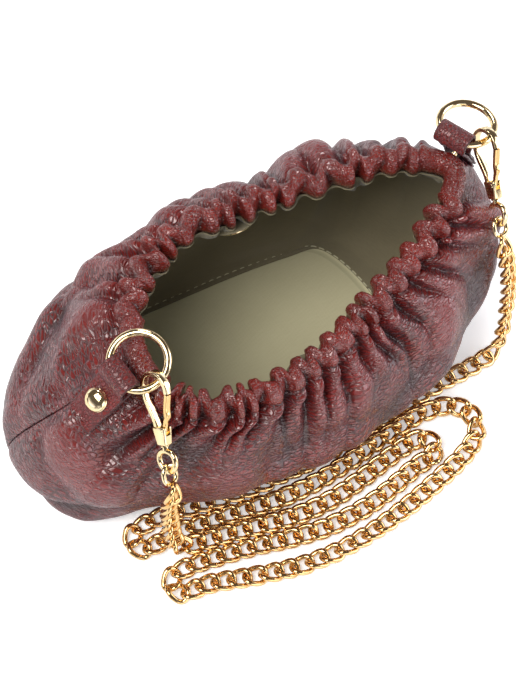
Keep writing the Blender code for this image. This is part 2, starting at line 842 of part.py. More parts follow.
def gate_pivot():
    return Vector((-BLOCK_WIDTH / 2 + GATE_PIN_INSET, -HOOK_THROAT - GATE_SLOT / 2, 0))


def build_hook(builder, end):
    """Trigger hook: body, sprung gate on its pin, swivel stem with its eye, and the end link."""
    frame = end.hook_frame()
    name = end.name + "_hook"
    body = builder.add(name, outline_mesh(name, hook_outline(), HOOK_THICK), "gold", frame)
    middle = -HOOK_THROAT - BLOCK_LENGTH / 2
    block = builder.cutter(name + "_block", box_mesh(
        name + "_block", (BLOCK_WIDTH, BLOCK_LENGTH, BLOCK_THICK)),
        frame @ Matrix.Translation((0, middle, 0)))
    join(body, block)

    pivot = gate_pivot()
    slot_size = (BLOCK_WIDTH / 2 + OVERRUN, GATE_SLOT + OVERRUN, GATE_THICK + 2 * CLEARANCE)
    slot = builder.cutter(name + "_slot", box_mesh(name + "_slot", slot_size), frame @
                          Matrix.Translation((-BLOCK_WIDTH / 2 - OVERRUN + slot_size[0] / 2,
                                              -HOOK_THROAT - GATE_SLOT + slot_size[1] / 2, 0)))
    cut(body, slot)
    pin_frame = frame @ Matrix.Translation(pivot)
    bore = builder.cutter(name + "_pin_bore", cylinder_mesh(
        name + "_pin_bore", GATE_PIN + CLEARANCE, BLOCK_THICK + 2 * OVERRUN, 12), pin_frame)
    cut(body, bore)

    window_top = -HOOK_THROAT - GATE_SLOT - WINDOW_WEB
    window_height = STEM_HEAD + 2 * CLEARANCE
    window = builder.cutter(name + "_window", box_mesh(
        name + "_window", (2 * STEM_HEAD_RADIUS + 2 * CLEARANCE, window_height,
                           BLOCK_THICK + 2 * OVERRUN)),
        frame @ Matrix.Translation((0, window_top - window_height / 2, 0)))
    cut(body, window)
    block_bottom = -HOOK_THROAT - BLOCK_LENGTH
    window_bottom = window_top - window_height
    along_y = Matrix.Rotation(math.radians(90), 4, "X")
    bore_length = window_bottom - block_bottom + 2 * OVERRUN
    stem_bore = builder.cutter(name + "_stem_bore", cylinder_mesh(
        name + "_stem_bore", STEM_RADIUS + CLEARANCE, bore_length, 12),
        frame @ Matrix.Translation((0, block_bottom - OVERRUN + bore_length / 2 - CLEARANCE, 0))
        @ along_y)
    cut(body, stem_bore)

    gate_name = end.name + "_gate"
    gate = builder.add(gate_name, outline_mesh(gate_name, gate_outline(), GATE_THICK), "gold",
                       pin_frame)
    cut(gate, bore)
    pin_name = end.name + "_gate_pin"
    pin = builder.add(pin_name, cylinder_mesh(pin_name, GATE_PIN, BLOCK_THICK, 12), "gold",
                      pin_frame)

    stem_top = window_top - CLEARANCE
    eye_centre = block_bottom - EYE_NECK - EYE_WIRE - EYE_RADIUS
    stem_foot = eye_centre + EYE_RADIUS
    swivel_name = end.name + "_swivel"
    profile = [(0, stem_top), (STEM_HEAD_RADIUS, stem_top), (STEM_HEAD_RADIUS,
               stem_top - STEM_HEAD), (STEM_RADIUS, stem_top - STEM_HEAD),
               (STEM_RADIUS, stem_foot), (0, stem_foot)]
    swivel = builder.add(swivel_name, turned_mesh(swivel_name, profile, 16), "gold",
                         frame @ Matrix.Rotation(math.radians(-90), 4, "X"))
    bpy.ops.mesh.primitive_torus_add(major_segments=20, minor_segments=6,
                                     major_radius=EYE_RADIUS, minor_radius=EYE_WIRE)
    made = bpy.context.object
    eye = builder.cutter(swivel_name + "_eye", made.data,
                         frame @ Matrix.Translation((0, eye_centre, 0)))
    bpy.data.objects.remove(made, do_unlink=True)
    join(swivel, eye)

    link_name = end.name + "_end_link"
    drop = LINK_WIRE + EYE_WIRE + CLEARANCE
    link_top = eye_centre - EYE_RADIUS + drop
    points = link_points(link_top)
    mesh = wire_mesh(link_name, points, LINK_WIRE, 2, cyclic=True)
    link = builder.add(link_name, mesh, "gold", frame)
    hook_pivot = builder.pivot(end.name + "_hook_axis", end.seat, end.ring_pivot)
    builder.carry(hook_pivot, body, gate, pin, swivel, link)
    foot = link_top - LINK_LENGTH - 2 * LINK_RADIUS - LINK_WIRE - CLEARANCE
    end.link_foot = frame @ Vector((0, foot, 0))


def link_points(top):
    """Centre line of the oval end link, which stands across the eye."""
    points = []
    upper, lower = top - LINK_RADIUS, top - LINK_RADIUS - LINK_LENGTH
    for index in range(LINK_STEPS + 1):
        angle = math.pi * index / LINK_STEPS
        points.append(Vector((0, upper + LINK_RADIUS * math.sin(angle),
                              LINK_RADIUS * math.cos(angle))))
    for index in range(LINK_STEPS + 1):
        angle = math.pi + math.pi * index / LINK_STEPS
        points.append(Vector((0, lower + LINK_RADIUS * math.sin(angle),
                              LINK_RADIUS * math.cos(angle))))
    return points


LINK_STEPS = 8


def gate_outline():
    """Gate lever about its pin: round foot, straight bar up to just under the nose."""
    tip = Vector((-HOOK_INNER - HOOK_BAR / 2, -NOSE_DROP - CLEARANCE)) - gate_pivot().to_2d()
    direction = tip.normalized()
    across = Vector((direction.y, -direction.x))
    half, foot = GATE_BAR / 2, GATE_PIN + GATE_BAR / 2
    outline = []
    lean = math.atan2(across.y, across.x)
    spread = math.radians(35)
    for index in range(FOOT_STEPS + 1):
        angle = lean + spread - (math.pi + 2 * spread) * index / FOOT_STEPS
        outline.append((foot * math.cos(angle), foot * math.sin(angle)))
    level = tip.y
    for sign in (-1, 1):
        base = across * (sign * half)
        length = (level - base.y) / direction.y
        outline.append(tuple(base + direction * length))
    return outline


FOOT_STEPS = 10


# Magnetic snap

def build_snap(builder, pouch, side):
    """Snap half on its round patch, with the washer behind the lining."""
    station, level = SNAP_STATIONS[side], SNAP_LEVELS[side]
    point = pouch.lining(station, level)
    ahead = pouch.lining(station + NUDGE, level) - pouch.lining(station - NUDGE, level)
    above = pouch.lining(station, level + NUDGE) - pouch.lining(station, level - NUDGE)
    normal = above.cross(ahead).normalized()
    ahead.normalize()
    frame = axes_matrix(point, ahead, normal.cross(ahead), normal)
    patch_foot = LINING + PATCH_STANDOFF
    hole = SNAP_POST_RADIUS + CLEARANCE
    name = "snap_patch_" + side
    builder.add(name, turned_mesh(name, ring_profile(hole, PATCH_RADIUS, patch_foot, PATCH)),
                "cotton", frame)
    foot = patch_foot + PATCH + CLEARANCE
    top = foot + SNAP
    back = -CLEARANCE - SNAP_BACK_GAP - WASHER
    rim = SNAP_RADIUS - SNAP_EDGE
    if side == "back":
        profile = [(0, foot + SNAP_EDGE), (STUD_RADIUS, foot + SNAP_EDGE), (STUD_RADIUS, top),
                   (rim, top)]
    else:
        profile = [(0, top + STUD_RISE), (STUD_RADIUS - SNAP_EDGE, top + STUD_RISE),
                   (STUD_RADIUS - SNAP_EDGE, top), (rim, top)]
    profile += [(SNAP_RADIUS, top - SNAP_EDGE), (SNAP_RADIUS, foot), (SNAP_POST_RADIUS, foot),
                (SNAP_POST_RADIUS, back), (0, back)]
    name = "snap_" + side
    builder.add(name, turned_mesh(name, profile, SNAP_SIDES), "gold", frame)
    name = "snap_washer_" + side
    builder.add(name, turned_mesh(name, ring_profile(hole, SNAP_WASHER_RADIUS, back, WASHER), 16),
                "steel", frame)
    drill = builder.cutter("snap_hole_" + side, cylinder_mesh(
        "snap_hole_" + side, hole, 2 * OVERRUN + LINING, 12), frame)
    cut(bpy.data.objects["lining_" + side], drill)


SNAP_BACK_GAP = 0.0004
SNAP_SIDES = 20


def ring_profile(inner, outer, foot, thick):
    return [(inner, foot + thick), (outer, foot + thick), (outer, foot), (inner, foot),
            (inner, foot + thick)]


# Chain strap

# The strap's route, from the right end link to the left one: down to the floor, then runs that
# are joined by round turns, each turn given by its centre and the heading that it turns away from
RIGHT_DROP_ROUTE = (
    (0.1040, -0.0372, 0.0560), (0.1054, -0.0396, 0.0420), (0.1050, -0.0418, 0.0280),
    (0.1032, -0.0449, 0.0155), (0.1004, -0.0474, 0.0078), (0.0965, -0.0490, 0.0043))
PILE_ROUTE = (
    ((0.0915, -0.0498), (0.0830, -0.0501), (0.0730, -0.0500), (0.0600, -0.0502),
     (0.0460, -0.0512), (0.0320, -0.0522), (0.0160, -0.0532), (0.0000, -0.0536),
     (-0.0150, -0.0530), (-0.0300, -0.0512), (-0.0440, -0.0484), (-0.0570, -0.0456),
     (-0.0670, -0.0438)),
    ((-0.0640, -0.0534), (-0.0520, -0.0552), (-0.0400, -0.0574), (-0.0270, -0.0602),
     (-0.0140, -0.0626), (0.0000, -0.0634), (0.0140, -0.0624), (0.0280, -0.0608),
     (0.0420, -0.0594), (0.0540, -0.0588), (0.0640, -0.0606), (0.0705, -0.0656),
     (0.0718, -0.0730), (0.0672, -0.0796), (0.0580, -0.0840), (0.0460, -0.0872),
     (0.0330, -0.0900), (0.0190, -0.0924), (0.0050, -0.0938), (-0.0090, -0.0938),
     (-0.0220, -0.0922), (-0.0350, -0.0890), (-0.0470, -0.0849), (-0.0570, -0.0812),
     (-0.0650, -0.0788)),
    ((-0.0620, -0.0694), (-0.0500, -0.0720), (-0.0370, -0.0753), (-0.0240, -0.0790),
     (-0.0100, -0.0823), (0.0040, -0.0834), (0.0180, -0.0824), (0.0300, -0.0802),
     (0.0390, -0.0781)),
    ((0.0380, -0.0678), (0.0260, -0.0697), (0.0130, -0.0718), (0.0000, -0.0730),
     (-0.0130, -0.0723), (-0.0250, -0.0698), (-0.0370, -0.0666), (-0.0480, -0.0639),
     (-0.0575, -0.0621)))
TURN_ROUTE = (
    ((-0.0755, -0.0487), (-1.0, 0.0)), ((-0.0708, -0.0736), (-1.0, 0.0)),
    ((0.0452, -0.0726), (1.0, 0.10)))
LEFT_DROP_ROUTE = (
    (-0.0622, -0.0613, 0.0049), (-0.0656, -0.0602, 0.0088), (-0.0669, -0.0589, 0.0150),
    (-0.0669, -0.0573, 0.0280), (-0.0667, -0.0573, 0.0420), (-0.0662, -0.0582, 0.0520))


def turn_points(centre, heading, arriving):
    """Round turn of the strap, from the end of one run back to the start of the next."""
    away = Vector(heading).normalized()
    side = Vector((-away.y, away.x))
    if (Vector(arriving) - Vector(centre)).dot(side) < 0:
        side.negate()
    points = []
    for index in range(TURN_STEPS + 1):
        angle = math.radians(TURN_SWEEP / 2 - TURN_SWEEP * index / TURN_STEPS)
        points.append(Vector(centre) + (away * math.cos(angle) + side * math.sin(angle))
                      * CHAIN_TURN)
    return points


TURN_STEPS = 6
TURN_SWEEP = 190.0


def strap_curve(left, right):
    """The whole strap as one fine curve, with the places where its pieces part."""
    route = [right.link_foot, right.link_foot + right.hang * CHAIN_LEAD]
    route += [Vector(point) for point in RIGHT_DROP_ROUTE]
    first = len(route)
    for index, run in enumerate(PILE_ROUTE):
        route += [Vector((x, y, CHAIN_LAY)) for x, y in run]
        if index < len(TURN_ROUTE):
            turn = turn_points(*TURN_ROUTE[index], run[-1])
            route += [Vector((x, y, CHAIN_LAY)) for x, y in turn]
    last = len(route) - 1
    route += [Vector(point) for point in LEFT_DROP_ROUTE]
    route += [left.link_foot + left.hang * CHAIN_LEAD, left.link_foot]
    fine = [open_point(route, index / FINE) for index in range(FINE * (len(route) - 1) + 1)]
    for point in fine:
        point.z = max(point.z, CHAIN_LAY)
    return fine, first * FINE, last * FINE


def thinned(points):
    """Fewer points of a fine curve, closer where it bends, straight for a little at its ends."""
    lead = (points[1] - points[0]).normalized()
    tail = (points[-2] - points[-1]).normalized()
    kept = [points[0] + lead * (CLEARANCE / 2), points[0] + lead * CHAIN_LEAD]
    run, bend = 0.0, 0.0
    length = sum((second - first).length for first, second in zip(points, points[1:]))
    done = 0.0
    for index in range(1, len(points) - 1):
        arriving = points[index] - points[index - 1]
        leaving = points[index + 1] - points[index]
        run += arriving.length
        done += arriving.length
        if done < 2 * CHAIN_LEAD or length - done < 2 * CHAIN_LEAD:
            run = 0.0
            continue
        bend += arriving.angle(leaving)
        if run >= CHAIN_STEP or bend >= CHAIN_BEND:
            kept.append(points[index])
            run, bend = 0.0, 0.0
    kept += [points[-1] + tail * CHAIN_LEAD, points[-1] + tail * (CLEARANCE / 2)]
    return kept


def build_chain(builder, left, right):
    """The strap as three plain tubes: a drop from each end link and the pile between them."""
    fine, first, last = strap_curve(left, right)
    for name, points in (("chain_right_drop", fine[:first + 1]),
                         ("chain_pile", fine[first:last + 1]),
                         ("chain_left_drop", fine[last:])):
        tube = thinned(points)
        builder.add(name, wire_mesh(name, tube, CHAIN_WIDTH / 2, CHAIN_SIDES), "gold")
    length = sum((second - first).length for first, second in zip(fine, fine[1:]))
    print("strap length between the end links, m:", round(length, 4))


def make_ends(pouch):
    """The two ends, each standing off the mouth's crest line near its seam."""
    left = End("left", closed_point(pouch.mouth, LEFT_TAB_STATION),
               (LEFT_TAB_REACH, LEFT_TAB_RISE, LEFT_TAB_SHIFT), LEFT_HEADING,
               (LEFT_TAB_SLOPE, LEFT_TAB_TILT), LEFT_RING_LEAN, LEFT_HOOK_PLACE,
               (LEFT_HOOK_HEADING, LEFT_HOOK_SLOPE, LEFT_HOOK_CROSSING))
    right = End("right", closed_point(pouch.mouth, RIGHT_TAB_STATION),
                (RIGHT_TAB_REACH, RIGHT_TAB_RISE, RIGHT_TAB_SHIFT), RIGHT_HEADING,
                (RIGHT_TAB_SLOPE, RIGHT_TAB_TILT), RIGHT_RING_LEAN, RIGHT_HOOK_PLACE,
                (RIGHT_HOOK_HEADING, RIGHT_HOOK_SLOPE, RIGHT_HOOK_CROSSING))
    return left, right


def main():
    clear_scene()
    builder = Builder()
    pouch = Pouch()
    panels = build_panels(builder, pouch)
    floor_top = build_base(builder, pouch)
    build_lining(builder, pouch, floor_top)
    build_mouth(builder, pouch)
    left, right = make_ends(pouch)
    for end in (left, right):
        build_tab(builder, end, panels.values())
        build_ring(builder, end)
        build_hook(builder, end)
    for side in SNAP_STATIONS:
        build_snap(builder, pouch, side)
    build_chain(builder, left, right)


main()
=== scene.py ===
"""Looks of a small gathered leather pouch bag.

The bag lies slumped on a pale floor: pebbled leather walls, a gathered rim, a cotton lining with a
magnetic snap, riveted tabs with rings, two trigger hooks and a curb chain strap. Every piece is
made in metres in the bag's own frame: +Z up, the front towards -Y, the long side along X.
"""
from __future__ import annotations

import json
import logging
import math
from collections.abc import Iterator
from contextlib import contextmanager
from dataclasses import dataclass, replace
from enum import Enum

import bmesh
import bpy
import numpy as np
from mathutils import Matrix, Vector, noise

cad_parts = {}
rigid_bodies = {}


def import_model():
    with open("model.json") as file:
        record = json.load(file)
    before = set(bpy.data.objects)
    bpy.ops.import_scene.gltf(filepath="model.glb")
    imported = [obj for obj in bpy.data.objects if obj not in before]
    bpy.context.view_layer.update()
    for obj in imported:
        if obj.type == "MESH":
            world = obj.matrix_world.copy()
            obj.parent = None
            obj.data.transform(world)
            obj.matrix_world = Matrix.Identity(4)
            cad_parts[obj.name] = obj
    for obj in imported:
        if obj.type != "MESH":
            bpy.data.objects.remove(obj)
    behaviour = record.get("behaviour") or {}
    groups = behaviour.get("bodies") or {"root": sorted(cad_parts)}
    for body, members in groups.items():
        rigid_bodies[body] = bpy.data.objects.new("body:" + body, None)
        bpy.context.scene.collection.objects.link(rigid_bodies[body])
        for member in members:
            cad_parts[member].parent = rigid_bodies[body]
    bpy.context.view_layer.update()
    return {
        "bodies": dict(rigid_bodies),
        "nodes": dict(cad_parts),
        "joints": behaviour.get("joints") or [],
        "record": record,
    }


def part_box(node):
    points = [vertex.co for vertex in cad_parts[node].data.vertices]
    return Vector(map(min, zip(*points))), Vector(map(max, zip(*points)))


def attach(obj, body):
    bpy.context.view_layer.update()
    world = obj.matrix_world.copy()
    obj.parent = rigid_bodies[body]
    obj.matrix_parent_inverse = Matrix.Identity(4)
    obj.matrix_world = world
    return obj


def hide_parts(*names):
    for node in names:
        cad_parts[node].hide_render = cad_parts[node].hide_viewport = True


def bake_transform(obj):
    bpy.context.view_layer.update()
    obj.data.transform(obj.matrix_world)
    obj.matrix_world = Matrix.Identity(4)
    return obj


LOG = logging.getLogger("pouch_bag")
TAU = 2 * math.pi

Array = np.ndarray
Colour = tuple[float, float, float]
Mesh = bpy.types.Mesh
Piece = bpy.types.Object
Material = bpy.types.Material
Socket = bpy.types.NodeSocket

STATIONS = 12
RIGHT_STATION = 6
WALLS = {"front": (0, RIGHT_STATION), "back": (RIGHT_STATION, STATIONS)}


# Sizes of the bag


@dataclass(frozen=True)
class PouchSizes:
    """Sizes of the slumped pouch and the outlines that its walls run through."""

    half_length: float = 0.108
    half_depth: float = 0.060
    mouth_height: float = 0.090
    leather: float = 0.0012
    lining: float = 0.0006
    floor: float = 0.0017
    seam_gap: float = 0.0009
    casing_gap: float = 0.0006
    casing_width: float = 0.0095
    casing_drop: float = 0.0080
    lining_inset: float = 0.0050
    base_shares: tuple = (
        (-0.91, 0.03), (-0.82, -0.47), (-0.45, -0.63), (0.00, -0.70), (0.36, -0.67),
        (0.60, -0.44), (0.65, 0.08), (0.57, 0.58), (0.38, 0.69), (0.00, 0.76),
        (-0.46, 0.77), (-0.76, 0.52))
    crease_shares: tuple = (
        (-0.98, 0.03, 0.12), (-0.89, -0.50, 0.09), (-0.46, -0.73, 0.10), (0.00, -0.81, 0.11),
        (0.44, -0.78, 0.12), (0.80, -0.50, 0.13), (0.90, 0.08, 0.13), (0.72, 0.62, 0.13),
        (0.45, 0.77, 0.13), (0.00, 0.86, 0.13), (-0.47, 0.86, 0.12), (-0.79, 0.58, 0.11))
    belly_shares: tuple = (
        (-1.00, 0.07, 0.36), (-0.90, -0.47, 0.29), (-0.48, -0.88, 0.29), (0.00, -1.08, 0.30),
        (0.45, -1.03, 0.34), (0.91, -0.63, 0.44), (1.03, 0.05, 0.47), (0.84, 0.66, 0.47),
        (0.50, 0.84, 0.44), (0.02, 0.92, 0.42), (-0.44, 0.90, 0.39), (-0.78, 0.63, 0.36))
    shoulder_shares: tuple = (
        (-0.81, -0.12, 0.715), (-0.69, -0.57, 0.605), (-0.37, -0.90, 0.57), (0.04, -0.98, 0.57),
        (0.46, -0.85, 0.62), (0.94, -0.50, 0.69), (1.045, 0.08, 0.73), (0.83, 0.58, 0.74),
        (0.52, 0.76, 0.73), (0.08, 0.86, 0.68), (-0.31, 0.88, 0.65), (-0.61, 0.66, 0.62))
    collar_shares: tuple = (
        (-0.61, -0.20, 0.870), (-0.53, -0.59, 0.745), (-0.29, -0.82, 0.69), (0.06, -0.84, 0.69),
        (0.39, -0.70, 0.74), (0.81, -0.43, 0.83), (0.985, 0.04, 0.872), (0.80, 0.43, 0.865),
        (0.51, 0.63, 0.84), (0.12, 0.72, 0.79), (-0.21, 0.73, 0.78), (-0.50, 0.44, 0.79))
    mouth_shares: tuple = (
        (-0.49, -0.18, 0.955), (-0.43, -0.54, 0.880), (-0.22, -0.72, 0.845),
        (0.07, -0.71, 0.850), (0.36, -0.565, 0.895), (0.715, -0.315, 0.965),
        (0.900, -0.03, 1.000), (0.74, 0.24, 1.000), (0.46, 0.385, 0.970), (0.13, 0.48, 0.955),
        (-0.14, 0.51, 0.945), (-0.39, 0.24, 0.950))

    def outline(self, shares: tuple) -> Array:
        """Points of one outline in metres.

        Args:
            shares: Places as shares of the half length, half depth and mouth height.

        Returns:
            An array of points, one row each.
        """
        rows = [(x, y, rest[0] if rest else 0.0) for x, y, *rest in shares]
        return np.array(rows) * (self.half_length, self.half_depth, self.mouth_height)


@dataclass(frozen=True)
class GatherSizes:
    """How the leather is gathered on the elastic at the mouth."""

    count: int = 41
    spread: float = 0.48
    back_wide: float = 1.25
    quiet: float = 0.0105
    ramp: float = 0.0070
    sway: float = 0.0016
    back_sway: float = 1.5
    furrow: float = 0.0023
    lean: float = 0.16
    body_depth: float = 0.0042
    shortest: float = 0.014
    longest: float = 0.030
    billow_depth: float = 0.0046
    lining_depth: float = 0.0030
    seed: int = 11


@dataclass(frozen=True)
class WallSizes:
    """How gathers, billows, puffs and folds spread down a leather wall from the rim, in metres."""

    begin: float = 0.004
    swell_from: float = 0.002
    swell_to: float = 0.018
    swell_reach: float = 0.044
    flat_from: float = 0.020
    flat_to: float = 0.036
    puff: float = 0.0026
    puff_rise: float = 0.0018
    puff_reach: float = 0.024
    foot: float = 0.010
    head: float = 0.006
    seam_stations: float = 0.25
    seam_sink: float = 0.0007
    sway_reach: float = 0.010
    fold_stations: float = 1.5
    fold_reach: float = 0.03
    tuck: float = 0.0036
    proud: float = 0.0060
    sunk: float = 0.0052


@dataclass(frozen=True)
class RimShape:
    """Section of the gathered rim: shares of its half width or height, and powers."""

    wide: float = 1.04
    side_power: float = 0.8
    height_power: float = 0.75
    lip_from: float = 0.82
    lip_in: float = 0.10
    outer_from: float = 0.45
    outer_in: float = 0.16
    edge_from: float = 0.75
    furrow_middle: float = 0.45
    row_step: float = 0.0022
    half_width_uv: float = 0.010


@dataclass(frozen=True)
class Waves:
    """Smooth random waves: how many to the metre, where they start and how high they are."""

    scale: float
    seed: float
    height: float

    def over(self, points: Array) -> Array:
        """Height of the waves at points.

        Args:
            points: A grid of points.

        Returns:
            One height for each.
        """
        flat = points.reshape(-1, 3) * self.scale + self.seed
        values = np.fromiter((noise.noise(Vector(p)) for p in flat), float, len(flat))
        return values.reshape(points.shape[:-1]) * self.height


@dataclass(frozen=True)
class Fold:
    """One soft fold in the leather wall.

    station, level: where its middle is. turn: its direction, in radians from the way round the
    bag. length, width, depth: in metres, and depth is negative for a hollow. bow: how far it
    curves.
    """

    station: float
    level: float
    turn: float
    length: float
    width: float
    depth: float
    bow: float = 6.0


# Curves and surfaces


def catmull(before: Array, start: Array, end: Array, after: Array, along: Array) -> Array:
    """Catmull-Rom points between start and end.

    Args:
        before, start, end, after: The four control points of the span.
        along: Shares of the span, broadcast against the points.

    Returns:
        The points on the curve.
    """
    return 0.5 * (2 * start + (end - before) * along
                  + (2 * before - 5 * start + 4 * end - after) * along ** 2
                  + (3 * start - before - 3 * end + after) * along ** 3)


def closed_curve(points: Array, where: Array) -> Array:
    """Smooth closed curve through control points.

    Args:
        points: Control points, one for each station.
        where: Station numbers, which may be fractional.

    Returns:
        The points there.
    """
    count = len(points)
    index = np.floor(where).astype(int)
    along = (where - index)[..., None]
    return catmull(points[(index - 1) % count], points[index % count],
                   points[(index + 1) % count], points[(index + 2) % count], along)


def open_curve(points: Array, where: Array) -> Array:
    """Points of the open curve whose control points run along the first axis.

    Args:
        points: Control points, shape (n, ..., 3).
        where: Places between 0 and n - 1, shape (m,).

    Returns:
        Points of shape (m, ..., 3).
    """
    last = len(points) - 1
    padded = np.concatenate([[2 * points[0] - points[1]], points,
                             [2 * points[last] - points[last - 1]]])
    index = np.clip(np.floor(where).astype(int), 0, last - 1)
    along = (where - index).reshape((-1,) + (1,) * (points.ndim - 1))
    return catmull(padded[index], padded[index + 1], padded[index + 2], padded[index + 3], along)


def smoothstep(low: float, high: float, value: Array) -> Array:
    """Smooth rise from 0 at low to 1 at high."""
    share = np.clip((value - low) / (high - low), 0.0, 1.0)
    return share * share * (3 - 2 * share)


def unit(vectors: Array) -> Array:
    """Vectors of length one."""
    return vectors / np.maximum(np.linalg.norm(vectors, axis=-1, keepdims=True), 1e-12)


def reach_along(points: Array) -> Array:
    """Distance from the first row of a path or a grid to each of its rows."""
    steps = np.linalg.norm(np.diff(points, axis=0), axis=-1)
    return np.concatenate([np.zeros((1, *steps.shape[1:])), np.cumsum(steps, axis=0)])


def points_at(places: Array, reach: Array, path: Array) -> Array:
    """Points of a path at distances along it, straight between its own points."""
    return np.stack([np.interp(places, reach, column) for column in path.T], -1)


def circle(radius: float, steps: int) -> Array:
    """Round outline in two dimensions, anticlockwise."""
    angles = np.linspace(0, TAU, steps, endpoint=False)
    return radius * np.stack([np.cos(angles), np.sin(angles)], -1)


def station_gap(stations: Array, station: float) -> Array:
    """Signed number of stations from one station, the short way round."""
    return (stations - station + STATIONS / 2) % STATIONS - STATIONS / 2


class Gathers:
    """The irregular gathers round the mouth, by distance along its crest."""

    def __init__(self, sizes: GatherSizes, girth: float, tabs: tuple[float, ...]) -> None:
        """Place every gather.

        Args:
            sizes: The sizes of the gathers.
            girth: Length of the mouth's crest line, in metres.
            tabs: Places of the left and right tab along it, where the leather lies flat.
        """
        self.sizes = sizes
        self.girth = girth
        self.tabs = tabs
        rng = np.random.default_rng(sizes.seed)
        steps = 1 + sizes.spread * rng.uniform(-1, 1, sizes.count)
        middle = (np.arange(sizes.count) + 0.5) / sizes.count * girth
        steps = steps * np.where(middle > tabs[1], sizes.back_wide, 1.0)
        self.ends = np.concatenate([[0.0], np.cumsum(steps)]) / steps.sum() * girth
        self.height = rng.uniform(0.70, 1.15, sizes.count)
        self.reach = rng.uniform(sizes.shortest, sizes.longest, sizes.count)
        self.drift = rng.uniform(-0.20, 0.20, sizes.count)
        self.lean = rng.choice([-1.0, 1.0], sizes.count, p=[0.3, 0.7]) * rng.uniform(
            0.6, 1.2, sizes.count)
        self.swing = rng.uniform(0.25, 1.30, sizes.count)
        cuts = [0]
        while cuts[-1] < sizes.count - 3:
            cuts.append(cuts[-1] + int(rng.integers(2, 6)))
        self.cuts = np.array(cuts + [sizes.count], dtype=float)
        self.billow = rng.uniform(0.55, 1.20, len(self.cuts))[:-1]

    def calm(self, along: Array) -> Array:
        """How freely the leather is gathered.

        Args:
            along: Distance along the mouth.

        Returns:
            0 under the tabs, 1 away from them.
        """
        quiet = np.ones_like(along)
        for tab in self.tabs:
            away = np.abs((along - tab + self.girth / 2) % self.girth - self.girth / 2)
            quiet = quiet * smoothstep(self.sizes.quiet, self.sizes.quiet + self.sizes.ramp, away)
        return quiet

    def phase(self, along: Array) -> Array:
        """Running number of the gather at each distance, with its fraction."""
        return np.interp(along % self.girth, self.ends, np.arange(self.sizes.count + 1))

    def blended(self, values: Array, phase: Array) -> Array:
        """Values that pass smoothly from one gather or billow to the next.

        Args:
            values: One for each gather or billow.
            phase: Running number of the gather or billow, with its fraction.

        Returns:
            The value at each place.
        """
        index = np.floor(phase - 0.5).astype(int)
        share = smoothstep(0.0, 1.0, phase - 0.5 - index)
        count = len(values)
        return values[index % count] * (1 - share) + values[(index + 1) % count] * share

    def sway(self, along: Array) -> tuple[Array, Array]:
        """How far the rim winds.

        Args:
            along: Distance along the mouth.

        Returns:
            Its shift along the mouth and its swing outwards.
        """
        phase = self.phase(along)
        size = self.sizes.sway * self.blended(self.swing, phase) * self.calm(along)
        wide = np.interp(along % self.girth, *self.wide_table())
        swing = -np.cos(TAU * phase) * size * wide
        shift = np.sin(2 * TAU * phase) * self.calm(along) * self.girth / self.sizes.count * 0.05
        return shift, swing

    def wide_table(self) -> tuple[list[float], list[float]]:
        """How much wider the rim swings along the back, by distance."""
        right, back = self.tabs[1], self.sizes.back_sway
        return [0.0, right, right + 0.03, self.girth - 0.03, self.girth], [1, 1, back, back, 1]

    def columns(self, along: Array, drift: Array | float = 0.0, sharp: float = 0.7) -> Array:
        """Round columns with sharp valleys between them, from -1 to 1.

        Args:
            along: Distance along the mouth.
            drift: How far each column has moved along, in gathers.
            sharp: Below 1 the valleys are sharp.

        Returns:
            The height of the columns, scaled by their own strength.
        """
        phase = self.phase(along)
        wave = np.abs(np.sin(math.pi * (phase + drift))) ** sharp
        return (2 * wave - 1) * self.blended(self.height, phase) * self.calm(along)

    def billows(self, along: Array, drift: Array | float = 0.0, sharp: float = 0.6) -> Array:
        """Wide folds of a few gathers each, from -1 to 1.

        Args:
            along: Distance along the mouth.
            drift: How far each fold has moved along, in gathers.
            sharp: Below 1 the valleys are sharp.

        Returns:
            The height of the folds, scaled by their own strength.
        """
        phase = self.phase(along) + drift
        inner = np.interp(phase % self.sizes.count, self.cuts, np.arange(len(self.cuts)))
        wave = np.abs(np.sin(math.pi * inner)) ** sharp
        return (2 * wave - 1) * self.blended(self.billow, inner)

    def furrows(self, along: Array, place: float) -> Array:
        """Depth of the slanted furrows across the rim, from 0 to 1.

        Args:
            along: Distance along the mouth.
            place: Place across the rim, from -1 at its inner edge to 1 at its outer edge.

        Returns:
            The depth at each distance.
        """
        phase = self.phase(along)
        lean = self.sizes.lean * self.blended(self.lean, phase)
        depth = np.zeros_like(along)
        for side, start in ((1.0, 0.0), (-1.0, 0.5)):
            away = (phase - start + lean * (1 - side * place) * 1.4 + 0.5) % 1.0 - 0.5
            fade = smoothstep(-0.55, 0.65, np.full_like(along, side * place))
            depth = np.maximum(depth, np.exp(-np.abs(away / 0.115) ** 1.25) * fade)
        return depth * self.calm(along) * self.blended(self.height, phase)


